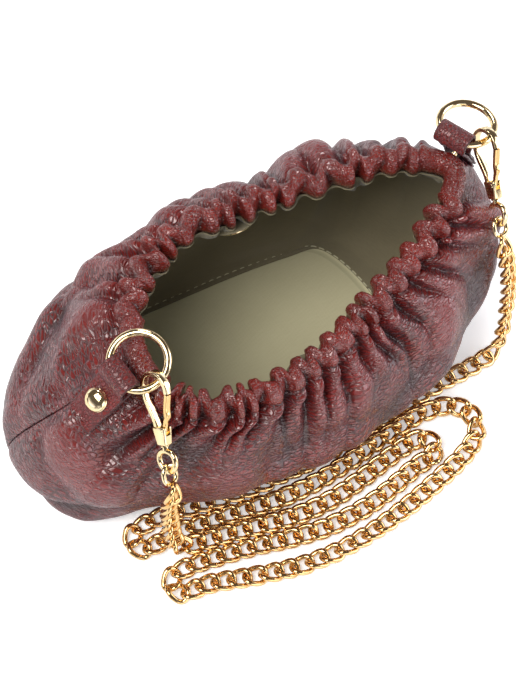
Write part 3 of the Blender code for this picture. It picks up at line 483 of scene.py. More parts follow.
class PouchForm:
    """The slumped pouch as smooth surfaces over station and level."""

    BELLY, NECK = 2, 5
    FINE = 40

    def __init__(self, sizes: PouchSizes) -> None:
        """Work out the outlines and the length of the mouth.

        Args:
            sizes: The sizes of the pouch.
        """
        self.sizes = sizes
        base = sizes.outline(sizes.base_shares)
        base[:, 2] = sizes.floor
        self.levels = [base] + [sizes.outline(shares) for shares in (
            sizes.crease_shares, sizes.belly_shares, sizes.shoulder_shares, sizes.collar_shares)]
        self.mouth = sizes.outline(sizes.mouth_shares)
        self.fine = np.linspace(0, len(self.mouth), len(self.mouth) * self.FINE + 1)
        self.reach = reach_along(closed_curve(self.mouth, self.fine))
        self.girth = float(self.reach[-1])

    def length_at(self, station: Array) -> Array:
        """Distance along the mouth's crest of each station."""
        return np.interp(station, self.fine, self.reach)

    def station_at(self, length: Array) -> Array:
        """Station at each distance along the mouth's crest."""
        return np.interp(length, self.reach, self.fine)

    def columns(self, start: float, end: float, count: int) -> Array:
        """Stations evenly spaced along the mouth between two stations."""
        first, last = self.length_at(np.array([start, end], dtype=float))
        return self.station_at(np.linspace(first, last, count + 1))

    def outward(self, curve: Array, station: Array) -> Array:
        """Level unit vectors pointing out of a closed curve."""
        delta = closed_curve(curve, station + 0.05) - closed_curve(curve, station - 0.05)
        return unit(np.stack([delta[..., 1], -delta[..., 0], np.zeros(delta.shape[:-1])], -1))

    def rim_axes(self, station: Array) -> tuple[Array, Array]:
        """Level unit vectors out of the mouth and along it."""
        out = self.outward(self.mouth, station)
        return out, np.stack([-out[:, 1], out[:, 0], np.zeros(len(out))], -1)

    def neck(self, station: Array, side: float) -> Array:
        """Top edge of a wall, a gap below the casing.

        Args:
            station: Stations of its points.
            side: 1 for the leather, -1 for the lining.

        Returns:
            The points.
        """
        crest = closed_curve(self.mouth, station)
        point = crest + self.outward(self.mouth, station) * (side * self.sizes.casing_width / 2)
        point[..., 2] = crest[..., 2] - self.sizes.casing_drop - self.sizes.casing_gap
        return point

    def wall(self, station: Array, level: Array) -> Array:
        """Smooth outer face of the leather.

        Args:
            station, level: Where its columns and rows are.

        Returns:
            Points of shape (levels, stations, 3).
        """
        control = [closed_curve(curve, station) for curve in self.levels]
        return open_curve(np.array([*control, self.neck(station, 1)]), level)

    def lining(self, station: Array, level: Array, inset: float) -> Array:
        """Smooth outer face of the lining.

        Args:
            station, level: Where its columns and rows are.
            inset: How far it lies inside the leather.

        Returns:
            Points of shape (levels, stations, 3).
        """
        wall = self.wall(station, level)
        outs = np.array([self.outward(curve, station) for curve in self.levels]
                        + [self.outward(self.mouth, station)])
        out = unit(open_curve(outs, level))
        share = smoothstep(self.BELLY, self.NECK, level)[:, None, None]
        return (wall - out * inset) * (1 - share) + self.neck(station, -1)[None] * share


def grid_normals(points: Array) -> Array:
    """Unit normals of a grid of points, by differences along both ways."""
    return unit(np.cross(np.gradient(points, axis=1), np.gradient(points, axis=0)))


# Mesh tools


def link(data: bpy.types.ID) -> Piece:
    """Put a mesh, lamp or camera into the scene.

    Args:
        data: What the object holds.

    Returns:
        The object, with the same name.
    """
    piece = bpy.data.objects.new(data.name, data)
    bpy.context.scene.collection.objects.link(piece)
    return piece


def repaint(piece: Piece, finish: Material) -> None:
    """Give a piece or a kept CAD node its finish."""
    piece.data.materials.clear()
    piece.data.materials.append(finish)


def dress(piece: Piece, finish: Material, body: str, slot: str, *nodes: str) -> None:
    """Give a piece its finish and body, and let it stand for its CAD nodes.

    Args:
        piece: The piece, with its place in its mesh.
        finish: Its material.
        body: The body that it rides on.
        slot: The name of its material slot, which is not used.
        nodes: The CAD nodes that it replaces.
    """
    repaint(piece, finish)
    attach(piece, body)
    if nodes:
        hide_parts(*nodes)


@contextmanager
def editing(mesh: Mesh) -> Iterator[bmesh.types.BMesh]:
    """Open a mesh for editing and write it back at the end.

    Args:
        mesh: The mesh.

    Returns:
        Its editable form, inside a with block.
    """
    bm = bmesh.new()
    if len(mesh.vertices):
        bm.from_mesh(mesh)
    yield bm
    bm.to_mesh(mesh)
    bm.free()


def shade(mesh: Mesh, angle: float = 40.0) -> None:
    """Smooth shading with sharp edges above an angle in degrees."""
    mesh.shade_smooth()
    mesh.set_sharp_from_angle(angle=math.radians(angle))


def add_values(mesh: Mesh, name: str, values: Array, kind: str = "FLOAT") -> None:
    """Store an attribute on a mesh's vertices.

    Args:
        mesh: The mesh.
        name: Name of the attribute.
        values: A number or a vector for each vertex.
        kind: FLOAT or FLOAT_VECTOR.
    """
    key = "vector" if kind == "FLOAT_VECTOR" else "value"
    attribute = mesh.attributes.new(name, kind, "POINT")
    attribute.data.foreach_set(key, np.ascontiguousarray(values, dtype=np.float32).ravel())


def grid_mesh(name: str, points: Array, uv: Array, crest: Array | None = None,
              wrap: bool = False, loop_rows: bool = False) -> Mesh:
    """A mesh over a grid of points.

    Args:
        name: Name of the mesh.
        points: Grid of shape (rows, columns, 3). Faces point out where columns run anticlockwise
            seen from above and rows run up.
        uv: Grid of shape (rows, columns, 2) for the UV map.
        crest: How high each point stands in its folds, from -1 to 1; the finishes paint shade where
            it is low and the leather paints highlight where it is high.
        wrap: Whether the last column meets the first.
        loop_rows: Whether the last row meets the first.

    Returns:
        The mesh.
    """
    rows, columns = points.shape[:2]
    index = np.arange(rows * columns).reshape(rows, columns)
    if wrap:
        index = np.concatenate([index, index[:, :1]], axis=1)
    if loop_rows:
        index = np.concatenate([index, index[:1]], axis=0)
    quads = np.stack([index[:-1, :-1], index[:-1, 1:], index[1:, 1:], index[1:, :-1]], -1)
    quads = quads.reshape(-1, 4)
    mesh = bpy.data.meshes.new(name)
    mesh.from_pydata(points.reshape(-1, 3), [], quads.tolist())
    flat = uv.reshape(-1, 2)[quads.ravel()]
    layer = mesh.uv_layers.new(name="around")
    layer.data.foreach_set("uv", np.ascontiguousarray(flat, dtype=np.float32).ravel())
    if crest is not None:
        add_values(mesh, "crest", crest)
    mesh.update()
    return mesh


def bake_modifiers(piece: Piece) -> None:
    """Turn a piece's modifiers into its own plain mesh.

    Args:
        piece: The piece, which gets the new mesh.
    """
    depsgraph = bpy.context.evaluated_depsgraph_get()
    depsgraph.update()
    mesh = bpy.data.meshes.new_from_object(piece.evaluated_get(depsgraph),
                                           preserve_all_data_layers=True, depsgraph=depsgraph)
    mesh.name = piece.name
    piece.modifiers.clear()
    old = piece.data
    piece.data = mesh
    bpy.data.meshes.remove(old)


def thicken(piece: Piece, thickness: float) -> None:
    """Give an open sheet its thickness, inwards, and apply it.

    Args:
        piece: The sheet.
        thickness: How thick it gets.
    """
    modifier = piece.modifiers.new("thickness", "SOLIDIFY")
    modifier.thickness = thickness
    modifier.offset = -1.0
    modifier.use_even_offset = False
    bake_modifiers(piece)
    piece.data.shade_smooth()


def lathe(name: str, profile: list[tuple[float, float]], frame: Matrix, steps: int = 64) -> Mesh:
    """A profile of radius and height pairs turned about a frame's Z.

    Args:
        name: Name of the mesh.
        profile: Pairs from the bottom middle, round the outside, to the top middle.
        frame: Where the turned shape stands.
        steps: How many steps the turn has.

    Returns:
        The closed mesh.
    """
    mesh = bpy.data.meshes.new(name)
    with editing(mesh) as bm:
        rings = []
        for radius, height in profile:
            outline = circle(radius, steps) if radius > 0 else [(0.0, 0.0)]
            rings.append([bm.verts.new((x, y, height)) for x, y in outline])
        for lower, upper in zip(rings, rings[1:]):
            for k in range(steps):
                n = (k + 1) % steps
                corners = (lower[k % len(lower)], lower[n % len(lower)],
                           upper[n % len(upper)], upper[k % len(upper)])
                corners = list(dict.fromkeys(corners))
                if len(corners) > 2:
                    bm.faces.new(corners)
        bmesh.ops.recalc_face_normals(bm, faces=bm.faces)
    mesh.transform(frame)
    shade(mesh, 35)
    return mesh


def rounded_section(width: float, height: float, edge: float) -> Array:
    """Section of a bar with rounded edges.

    Args:
        width, height: Its full sizes.
        edge: Radius of its edges.

    Returns:
        The outline in two dimensions, anticlockwise.
    """
    steps = 3
    points = []
    for cx, cy, start in ((1, 1, 0.0), (-1, 1, 0.25), (-1, -1, 0.5), (1, -1, 0.75)):
        for k in range(steps + 1):
            angle = TAU * (start + 0.25 * k / steps)
            points.append((cx * (width / 2 - edge) + edge * math.cos(angle),
                           cy * (height / 2 - edge) + edge * math.sin(angle)))
    return np.array(points)


def seal(mesh: Mesh, rings: tuple[int, int] | None) -> None:
    """Point a tube's faces outwards, after filling the ends of an open one.

    Args:
        mesh: The tube, made of rings of vertices in order.
        rings: How many rings it has and how many vertices in each, or nothing for a closed loop.
    """
    with editing(mesh) as bm:
        bm.verts.ensure_lookup_table()
        if rings is not None:
            count, size = rings
            for first in (0, (count - 1) * size):
                bm.faces.new([bm.verts[first + k] for k in range(size)])
        bmesh.ops.recalc_face_normals(bm, faces=bm.faces)


def sweep(name: str, path: Array, section: Array, up: Array, closed: bool = False) -> Mesh:
    """A section swept along a path.

    Args:
        name: Name of the mesh.
        path: Points of the path, shape (n, 3).
        section: Outline in two dimensions, or one outline for each point, shape (n, m, 2).
        up: Direction of the section's second axis at each point, or one for all.
        closed: Whether the path closes on itself.

    Returns:
        The closed mesh.
    """
    if closed:
        tangent = unit(np.roll(path, -1, axis=0) - np.roll(path, 1, axis=0))
    else:
        tangent = unit(np.gradient(path, axis=0))
    side = unit(np.cross(tangent, np.broadcast_to(np.asarray(up, dtype=float), path.shape)))
    lift = unit(np.cross(side, tangent))
    if section.ndim == 2:
        section = np.broadcast_to(section, (len(path),) + section.shape)
    rings = (path[:, None] + section[..., :1] * side[:, None] + section[..., 1:] * lift[:, None])
    uv = np.stack(np.meshgrid(reach_along(path), reach_along(section[0]), indexing="ij"), -1)
    mesh = grid_mesh(name, rings, uv, wrap=True, loop_rows=closed)
    seal(mesh, None if closed else rings.shape[:2])
    return mesh


def merge_meshes(name: str, meshes: list[Mesh]) -> Mesh:
    """Join several meshes into one.

    Args:
        name: Name of the new mesh.
        meshes: The meshes, which are removed.

    Returns:
        The new mesh.
    """
    made = bpy.data.meshes.new(name)
    with editing(made) as bm:
        for mesh in meshes:
            bm.from_mesh(mesh)
            bpy.data.meshes.remove(mesh)
    return made


def axes(origin: Vector, x_axis: Vector, y_axis: Vector, z_axis: Vector) -> Matrix:
    """Frame with the given axes as its columns."""
    turn = Matrix((x_axis, y_axis, z_axis)).transposed()
    return Matrix.Translation(origin) @ turn.to_4x4()


# Shader tools


def rgba(colour: Colour, share: float = 1.0) -> tuple[float, float, float, float]:
    """A colour, darkened to a share of itself, with full alpha."""
    return (*[value * share for value in colour], 1.0)


class Nodes:
    """Short calls for building one node tree."""

    def __init__(self, tree: bpy.types.NodeTree) -> None:
        """Empty a tree."""
        self.tree = tree
        tree.nodes.clear()

    def add(self, kind: str, inputs: dict[str | int, object] | None = None,
            **settings: object) -> bpy.types.Node:
        """Add a node.

        Args:
            kind: Its type.
            inputs: A socket to link, or a value to set, for each of its inputs.
            settings: Its properties, set before its inputs.

        Returns:
            The node.
        """
        node = self.tree.nodes.new(kind)
        for key, value in settings.items():
            setattr(node, key, value)
        for key, value in (inputs or {}).items():
            if isinstance(value, Socket):
                self.tree.links.new(value, node.inputs[key])
            else:
                node.inputs[key].default_value = value
        return node

    def math(self, operation: str, *values: object) -> Socket:
        """A Math node's result."""
        return self.add("ShaderNodeMath", dict(enumerate(values)), operation=operation).outputs[0]

    def mix(self, share: object, first: object, second: object) -> Socket:
        """A blend of two colours."""
        inputs = {0: share, 6: first, 7: second}
        return self.add("ShaderNodeMix", inputs, data_type="RGBA").outputs[2]

    def ramp(self, value: object, low: float, high: float, out_low: float = 0.0,
             out_high: float = 1.0) -> Socket:
        """A value mapped smoothly from one range to another."""
        inputs = dict(enumerate((value, low, high, out_low, out_high)))
        return self.add("ShaderNodeMapRange", inputs, interpolation_type="SMOOTHSTEP").outputs[0]

    def noise(self, where: Socket, scale: object, detail: float) -> Socket:
        """Noise at a scale."""
        inputs = {"Vector": where, "Scale": scale, "Detail": detail}
        return self.add("ShaderNodeTexNoise", inputs).outputs["Fac"]

    def split(self, where: Socket) -> list[Socket]:
        """The three parts of a vector."""
        return list(self.add("ShaderNodeSeparateXYZ", {0: where}).outputs)

    def group(self, tree: bpy.types.NodeTree, where: Socket, **values: float) -> object:
        """The outputs of a shared effect, placed with its own values."""
        return self.add("ShaderNodeGroup", {"Vector": where, **values}, node_tree=tree).outputs

    def bump(self, height: Socket, strength: float, distance: float) -> Socket:
        """A normal that follows a height."""
        inputs = {"Height": height, "Strength": strength, "Distance": distance}
        return self.add("ShaderNodeBump", inputs).outputs[0]

    def crest(self) -> Socket:
        """How high the surface stands in its folds, as stored on the mesh, for painted shade and
        highlight.
        """
        return self.add("ShaderNodeAttribute", attribute_name="crest").outputs["Fac"]


def start_group(name: str, numbers: dict[str, float],
                outputs: tuple[str, ...]) -> tuple[Nodes, object]:
    """A shader node group with named sockets.

    Args:
        name: The group's name.
        numbers: Its number inputs, after a Vector input, and their defaults.
        outputs: Its number outputs.

    Returns:
        The tools to fill it, and its inputs.
    """
    tree = bpy.data.node_groups.new(name, "ShaderNodeTree")
    tree.interface.new_socket(name="Vector", in_out="INPUT", socket_type="NodeSocketVector")
    for key, value in numbers.items():
        socket = tree.interface.new_socket(name=key, in_out="INPUT", socket_type="NodeSocketFloat")
        socket.default_value = value
    for key in outputs:
        tree.interface.new_socket(name=key, in_out="OUTPUT", socket_type="NodeSocketFloat")
    nodes = Nodes(tree)
    return nodes, nodes.add("NodeGroupInput").outputs


class Effects:
    """Shader node groups that several finishes share, each built once."""

    def __init__(self) -> None:
        """Build every group."""
        self.grain = self._grain()
        self.weave = self._weave()
        self.tone = self._tone()

    @staticmethod
    def _grain() -> bpy.types.NodeTree:
        """Pebbled grain: rounded cells drawn out one way, with creases between them.

        Returns:
            The group.
        """
        nodes, given = start_group("Leather grain", {"Scale": 900.0, "Stretch": 0.5, "Fine": 0.3},
                                   ("Height", "Creased"))
        where, scale = given["Vector"], given["Scale"]
        warp = {0: nodes.noise(where, 110.0, 1.0), 1: (0.0026, 0.0026, 0.0026), 2: where}
        moved = nodes.add("ShaderNodeVectorMath", warp, operation="MULTIPLY_ADD").outputs[0]
        x, y, z = nodes.split(moved)
        stretched = nodes.math("MULTIPLY", x, given["Stretch"])
        drawn = nodes.add("ShaderNodeCombineXYZ", {0: stretched, 1: y, 2: z}).outputs[0]
        cells = nodes.add("ShaderNodeTexVoronoi", {"Vector": drawn, "Scale": scale},
                          feature="DISTANCE_TO_EDGE")
        pebble = nodes.ramp(cells.outputs["Distance"], 0.0, 0.20)
        wrinkle = nodes.noise(drawn, nodes.math("MULTIPLY", scale, 0.8), 0.6)
        fine = nodes.noise(where, nodes.math("MULTIPLY", scale, 2.4), 1.0)
        height = nodes.math("MULTIPLY_ADD", wrinkle, 0.7, pebble)
        height = nodes.math("ADD", height, nodes.math("MULTIPLY", fine, given["Fine"]))
        patches = nodes.ramp(nodes.noise(where, 46.0, 2.0), 0.38, 0.62, 0.55, 1.0)
        creased = nodes.math("MULTIPLY", nodes.math("SUBTRACT", 1.0, pebble), patches)
        nodes.add("NodeGroupOutput", {"Height": height, "Creased": creased})
        return nodes.tree

    @staticmethod
    def _weave() -> bpy.types.NodeTree:
        """Plain weave: threads over and under each other.

        Returns:
            The group.
        """
        nodes, given = start_group("Plain weave", {"Threads": 2600.0}, ("Height", "Shade"))
        where = given["Vector"]
        turns = nodes.math("MULTIPLY", given["Threads"], math.pi)
        across, along = [nodes.math("SINE", nodes.math("MULTIPLY", part, turns))
                         for part in nodes.split(where)[:2]]
        drawn = nodes.add("ShaderNodeMapping", {"Vector": where, "Scale": (1.0, 6.0, 1.0)})
        slub = nodes.noise(drawn.outputs[0], 240.0, 3.0)
        height = nodes.math("MULTIPLY_ADD", slub, 0.8, nodes.math("MULTIPLY", across, along))
        blotch = nodes.math("MULTIPLY", nodes.noise(where, 55.0, 3.0), 0.5)
        shade_mask = nodes.math("MULTIPLY_ADD", slub, 0.5, blotch)
        nodes.add("NodeGroupOutput", {"Height": height, "Shade": shade_mask})
        return nodes.tree

    @staticmethod
    def _tone() -> bpy.types.NodeTree:
        """Slow change of tone over a surface with fine specks in it.

        Returns:
            The group.
        """
        nodes, given = start_group("Tone change", {"Scale": 60.0, "Speck": 900.0},
                                   ("Slow", "Specks"))
        slow = nodes.noise(given["Vector"], given["Scale"], 3.0)
        speck = nodes.noise(given["Vector"], given["Speck"], 2.0)
        nodes.add("NodeGroupOutput", {"Slow": nodes.ramp(slow, 0.3, 0.7),
                                      "Specks": nodes.ramp(speck, 0.45, 0.75)})
        return nodes.tree


class Mapping(Enum):
    """Which coordinates a finish reads."""

    OBJECT = "Object"
    AROUND = "UV"


@dataclass(frozen=True)
class Finish:
    """A finish that makes its own material round one shader."""

    name: str

    def inputs(self, nodes: Nodes, effects: Effects) -> dict[str, object]:
        """Build what feeds the shader.

        Args:
            nodes: The material's nodes.
            effects: The shared groups.

        Returns:
            What the shader's inputs get.
        """
        raise NotImplementedError

    def build(self, effects: Effects) -> Material:
        """Make the material.

        Args:
            effects: The shared shader node groups.

        Returns:
            The material.
        """
        material = bpy.data.materials.new(self.name)
        material.use_nodes = True
        nodes = Nodes(material.node_tree)
        shader = nodes.add("ShaderNodeBsdfPrincipled", self.inputs(nodes, effects))
        nodes.add("ShaderNodeOutputMaterial", {"Surface": shader.outputs[0]})
        return material


@dataclass(frozen=True)
class Leather(Finish):
    """Pebbled leather, with painted highlight on its fold crests and painted shade in its creases
    and hollows.
    """

    deep: Colour
    bright: Colour
    crest_highlight: Colour
    roughness: float
    grain: float
    depth: float
    stretch: float = 0.5
    fine: float = 0.3
    mapping: Mapping = Mapping.AROUND
    specular: float = 0.6
    valley_shade_and_edge_paint: float = 0.75
    creases: float = 0.6
    sheen: float = 0.0
    crease_shade_tone: float = 0.12
    valley_shade_and_edge_paint_tone: float = 0.26

    def inputs(self, nodes: Nodes, effects: Effects) -> dict[str, object]:
        """Grain, tone, painted highlight on crests, and painted shade in creases and hollows.

        Args:
            nodes: The material's nodes.
            effects: The shared groups.

        Returns:
            What the shader's inputs get.
        """
        place = nodes.add("ShaderNodeTexCoord").outputs[self.mapping.value]
        grain = nodes.group(effects.grain, place, Scale=self.grain, Stretch=self.stretch,
                            Fine=self.fine)
        tone = nodes.group(effects.tone, place)
        base = nodes.mix(tone["Slow"], rgba(self.deep), rgba(self.bright))
        # Painted shade: the grain's creases are darkened towards the deep colour.
        creased = nodes.math("MULTIPLY", grain["Creased"], self.creases)
        base = nodes.mix(creased, base, rgba(self.deep, self.crease_shade_tone))
        crest = nodes.crest()
        # Painted highlight: high fold crests are lightened towards a brighter red.
        base = nodes.mix(nodes.ramp(crest, 0.15, 1.0, 0.0, 0.45), base, rgba(self.crest_highlight))
        # Painted shade: fold valleys, rim furrows and the tuck under the rim have low crest values
        # and are darkened. The tab's cut edges have low values too, and there the same darkening is
        # their edge paint.
        hollow = nodes.ramp(crest, -0.05, -0.80, 0.0, self.valley_shade_and_edge_paint)
        base = nodes.mix(hollow, base, rgba(self.deep, self.valley_shade_and_edge_paint_tone))
        rough = nodes.math("MULTIPLY_ADD", grain["Creased"], 0.16, self.roughness)
        rough = nodes.math("MULTIPLY_ADD", tone["Specks"], 0.05, rough)
        return {"Base Color": base, "Roughness": rough, "Specular IOR Level": self.specular,
                "Sheen Weight": self.sheen, "Sheen Roughness": 0.32,
                "Sheen Tint": (0.80, 0.78, 1.0, 1.0),
                "Normal": nodes.bump(grain["Height"], 1.0, self.depth)}


@dataclass(frozen=True)
class Cloth(Finish):
    """A woven finish, with painted shade in its hollows."""

    dark: Colour
    light: Colour
    threads: float
    depth: float
    mapping: Mapping = Mapping.AROUND
    hollow_shade_tone: float = 0.4

    def inputs(self, nodes: Nodes, effects: Effects) -> dict[str, object]:
        """Weave with blotches, and painted shade in the hollows.

        Args:
            nodes: The material's nodes.
            effects: The shared groups.

        Returns:
            What the shader's inputs get.
        """
        place = nodes.add("ShaderNodeTexCoord").outputs[self.mapping.value]
        weave = nodes.group(effects.weave, place, Threads=self.threads)
        base = nodes.mix(weave["Shade"], rgba(self.light), rgba(self.dark))
        # Painted shade: low crest values, in the lining's folds and in the painted shadow line on
        # its floor, darken the cloth.
        hollow = nodes.ramp(nodes.crest(), -0.1, -1.0, 0.0, 0.6)
        return {"Base Color": nodes.mix(hollow, base, rgba(self.dark, self.hollow_shade_tone)),
                "Roughness": 0.88, "Specular IOR Level": 0.25, "Sheen Weight": 0.25,
                "Sheen Roughness": 0.5, "Normal": nodes.bump(weave["Height"], 0.8, self.depth)}


@dataclass(frozen=True)
class Metal(Finish):
    """A polished or plain metal finish with faint specks."""

    colour: Colour
    shade: Colour
    roughness: float
    speck_depth: float = 0.00001

    def inputs(self, nodes: Nodes, effects: Effects) -> dict[str, object]:
        """Slow change of tone, and specks in the polish.

        Args:
            nodes: The material's nodes.
            effects: The shared groups.

        Returns:
            What the shader's inputs get.
        """
        place = nodes.add("ShaderNodeTexCoord").outputs["Object"]
        tone = nodes.group(effects.tone, place, Scale=180.0, Speck=2400.0)
        return {"Base Color": nodes.mix(tone["Slow"], rgba(self.colour), rgba(self.shade)),
                "Metallic": 1.0,
                "Roughness": nodes.math("MULTIPLY_ADD", tone["Specks"], 0.05, self.roughness),
                "Normal": nodes.bump(tone["Specks"], 0.5, self.speck_depth)}


@dataclass(frozen=True)
class FloorPaint(Finish):
    """Matt white that shows a little brighter to the camera than the lamps make it."""

    tone: float = 0.93
    glow: float = 0.38

    def inputs(self, nodes: Nodes, effects: Effects) -> dict[str, object]:
        """Plain white, with a glow that only the camera sees.

        Args:
            nodes: The material's nodes.
            effects: The shared groups, which the floor does not use.

        Returns:
            What the shader's inputs get.
        """
        seen = nodes.add("ShaderNodeLightPath").outputs["Is Camera Ray"]
        return {"Base Color": (self.tone, self.tone, self.tone, 1.0), "Roughness": 0.9,
                "Specular IOR Level": 0.1, "Emission Color": (1.0, 1.0, 1.0, 1.0),
                "Emission Strength": nodes.math("MULTIPLY", seen, self.glow)}


class Finishes:
    """Every finish of the bag, built once."""

    def __init__(self) -> None:
        """Build the shared effects and the materials."""
        effects = Effects()
        finishes = {
            # The third colour of each leather is the painted highlight on its fold crests; the
            # valley and crease settings set its painted shade.
            "body": Leather("Pebbled burgundy leather", (0.105, 0.0065, 0.0052),
                            (0.180, 0.0125, 0.0100), (0.220, 0.022, 0.018), 0.24, 680.0,
                            0.00029, 0.45, 0.08, specular=1.0, valley_shade_and_edge_paint=0.92, creases=0.85,
                            sheen=0.08),
            "rim": Leather("Brick red rim leather", (0.140, 0.0100, 0.0065),
                           (0.215, 0.0170, 0.0110), (0.270, 0.030, 0.020), 0.20, 900.0,
                           0.00020, 0.9, 0.20, specular=0.90, valley_shade_and_edge_paint=0.98, creases=0.55),
            "tab": Leather("Tab leather", (0.130, 0.0095, 0.0080), (0.190, 0.0170, 0.0140),
                           (0.220, 0.034, 0.028), 0.28, 800.0, 0.00030, 0.7, 0.15,
                           specular=0.70, creases=0.55, sheen=0.08),
            "base": Leather("Base leather", (0.115, 0.0075, 0.0060), (0.180, 0.0140, 0.0110),
                            (0.215, 0.026, 0.020), 0.33, 640.0, 0.0003, 0.7,
                            mapping=Mapping.OBJECT),
            # The walls and patches get a dark copy of the khaki cotton as painted shade, and the
            # lining floor a much lighter copy of the same cotton as painted light.
            "cotton": Cloth("Khaki cotton", (0.150, 0.125, 0.073), (0.225, 0.192, 0.118), 2400.0,
                            0.00005),
            "cotton_floor": Cloth("Khaki cotton floor", (0.480, 0.440, 0.270),
                                  (0.590, 0.545, 0.350), 2400.0, 0.00005),
            "thread": Cloth("Khaki thread", (0.50, 0.47, 0.30), (0.60, 0.57, 0.39), 5200.0,
                            0.00003, Mapping.OBJECT),
            "elastic": Cloth("White elastic", (0.62, 0.60, 0.55), (0.80, 0.78, 0.72), 1800.0,
                             0.0001, Mapping.OBJECT),
            "board": Cloth("Grey board", (0.36, 0.31, 0.24), (0.44, 0.38, 0.30), 900.0, 0.0001,
                           Mapping.OBJECT),
            "gold": Metal("Pale polished gold", (0.92, 0.76, 0.46), (0.86, 0.67, 0.37), 0.09),
            "gate_gold": Metal("Amber polished gold", (0.88, 0.60, 0.27), (0.80, 0.50, 0.20),
                               0.10),
            "chain": Metal("Warm polished gold", (0.88, 0.60, 0.28), (0.80, 0.50, 0.20), 0.11),
            "steel": Metal("Plain steel", (0.60, 0.60, 0.60), (0.52, 0.52, 0.52), 0.32),
            "floor": FloorPaint("White floor"),
        }
        self.made = {key: finish.build(effects) for key, finish in finishes.items()}

    def __getitem__(self, key: str) -> Material:
        """The material of one finish."""
        return self.made[key]


# Geometry Nodes


class CopyTree:
    """A Geometry Nodes tree that sets copies of one piece on points with their own directions."""

    def __init__(self, name: str, material: Material) -> None:
        """Build the tree.

        Args:
            name: The tree's name.
            material: The finish that the copies get.
        """
        self.tree = bpy.data.node_groups.new(name, "GeometryNodeTree")
        face = self.tree.interface
        face.new_socket(name="Points", in_out="INPUT", socket_type="NodeSocketGeometry")
        self.model = face.new_socket(name="Copied piece", in_out="INPUT",
                                     socket_type="NodeSocketObject")
        self.size = face.new_socket(name="Size", in_out="INPUT", socket_type="NodeSocketFloat")
        face.new_socket(name="Copies", in_out="OUTPUT", socket_type="NodeSocketGeometry")
        nodes = Nodes(self.tree)
        source = nodes.add("NodeGroupInput").outputs
        info = nodes.add("GeometryNodeObjectInfo", {"Object": source["Copied piece"]})
        turn = {}
        for axis, key, pivot in (("X", "along", "AUTO"), ("Z", "up", "X")):
            named = nodes.add("GeometryNodeInputNamedAttribute", {"Name": key},
                              data_type="FLOAT_VECTOR")
            align = nodes.add("FunctionNodeAlignRotationToVector",
                              {"Vector": named.outputs[0], **turn}, axis=axis, pivot_axis=pivot)
            turn = {"Rotation": align.outputs[0]}
        copies = nodes.add("GeometryNodeInstanceOnPoints", {
            "Points": source["Points"], "Instance": info.outputs["Geometry"],
            "Scale": source["Size"], **turn})
        real = nodes.add("GeometryNodeRealizeInstances", {0: copies.outputs[0]})
        finish = nodes.add("GeometryNodeSetMaterial",
                           {"Geometry": real.outputs[0], "Material": material})
        nodes.add("NodeGroupOutput", {0: finish.outputs[0]})

    def run(self, name: str, model: Piece, points: Array, along: Array, up: Array,
            size: float = 1.0) -> Piece:
        """Set the copies and turn them into one plain mesh.

        Args:
            name: Name of the piece.
            model: The piece that is copied.
            points: Where the copies stand.
            along: Direction of each copy's X.
            up: Direction of each copy's Z.
            size: Scale of the copies.

        Returns:
            The piece, as a plain mesh with no modifier.
        """
        mesh = bpy.data.meshes.new(name)
        mesh.from_pydata(points.tolist(), [], [])
        for key, vectors in (("along", along), ("up", up)):
            add_values(mesh, key, vectors, "FLOAT_VECTOR")
        piece = link(mesh)
        modifier = piece.modifiers.new("copies", "NODES")
        modifier.node_group = self.tree
        modifier[self.model.identifier] = model
        modifier[self.size.identifier] = size
        bake_modifiers(piece)
        shade(piece.data, 50)
        return piece


# The leather pouch


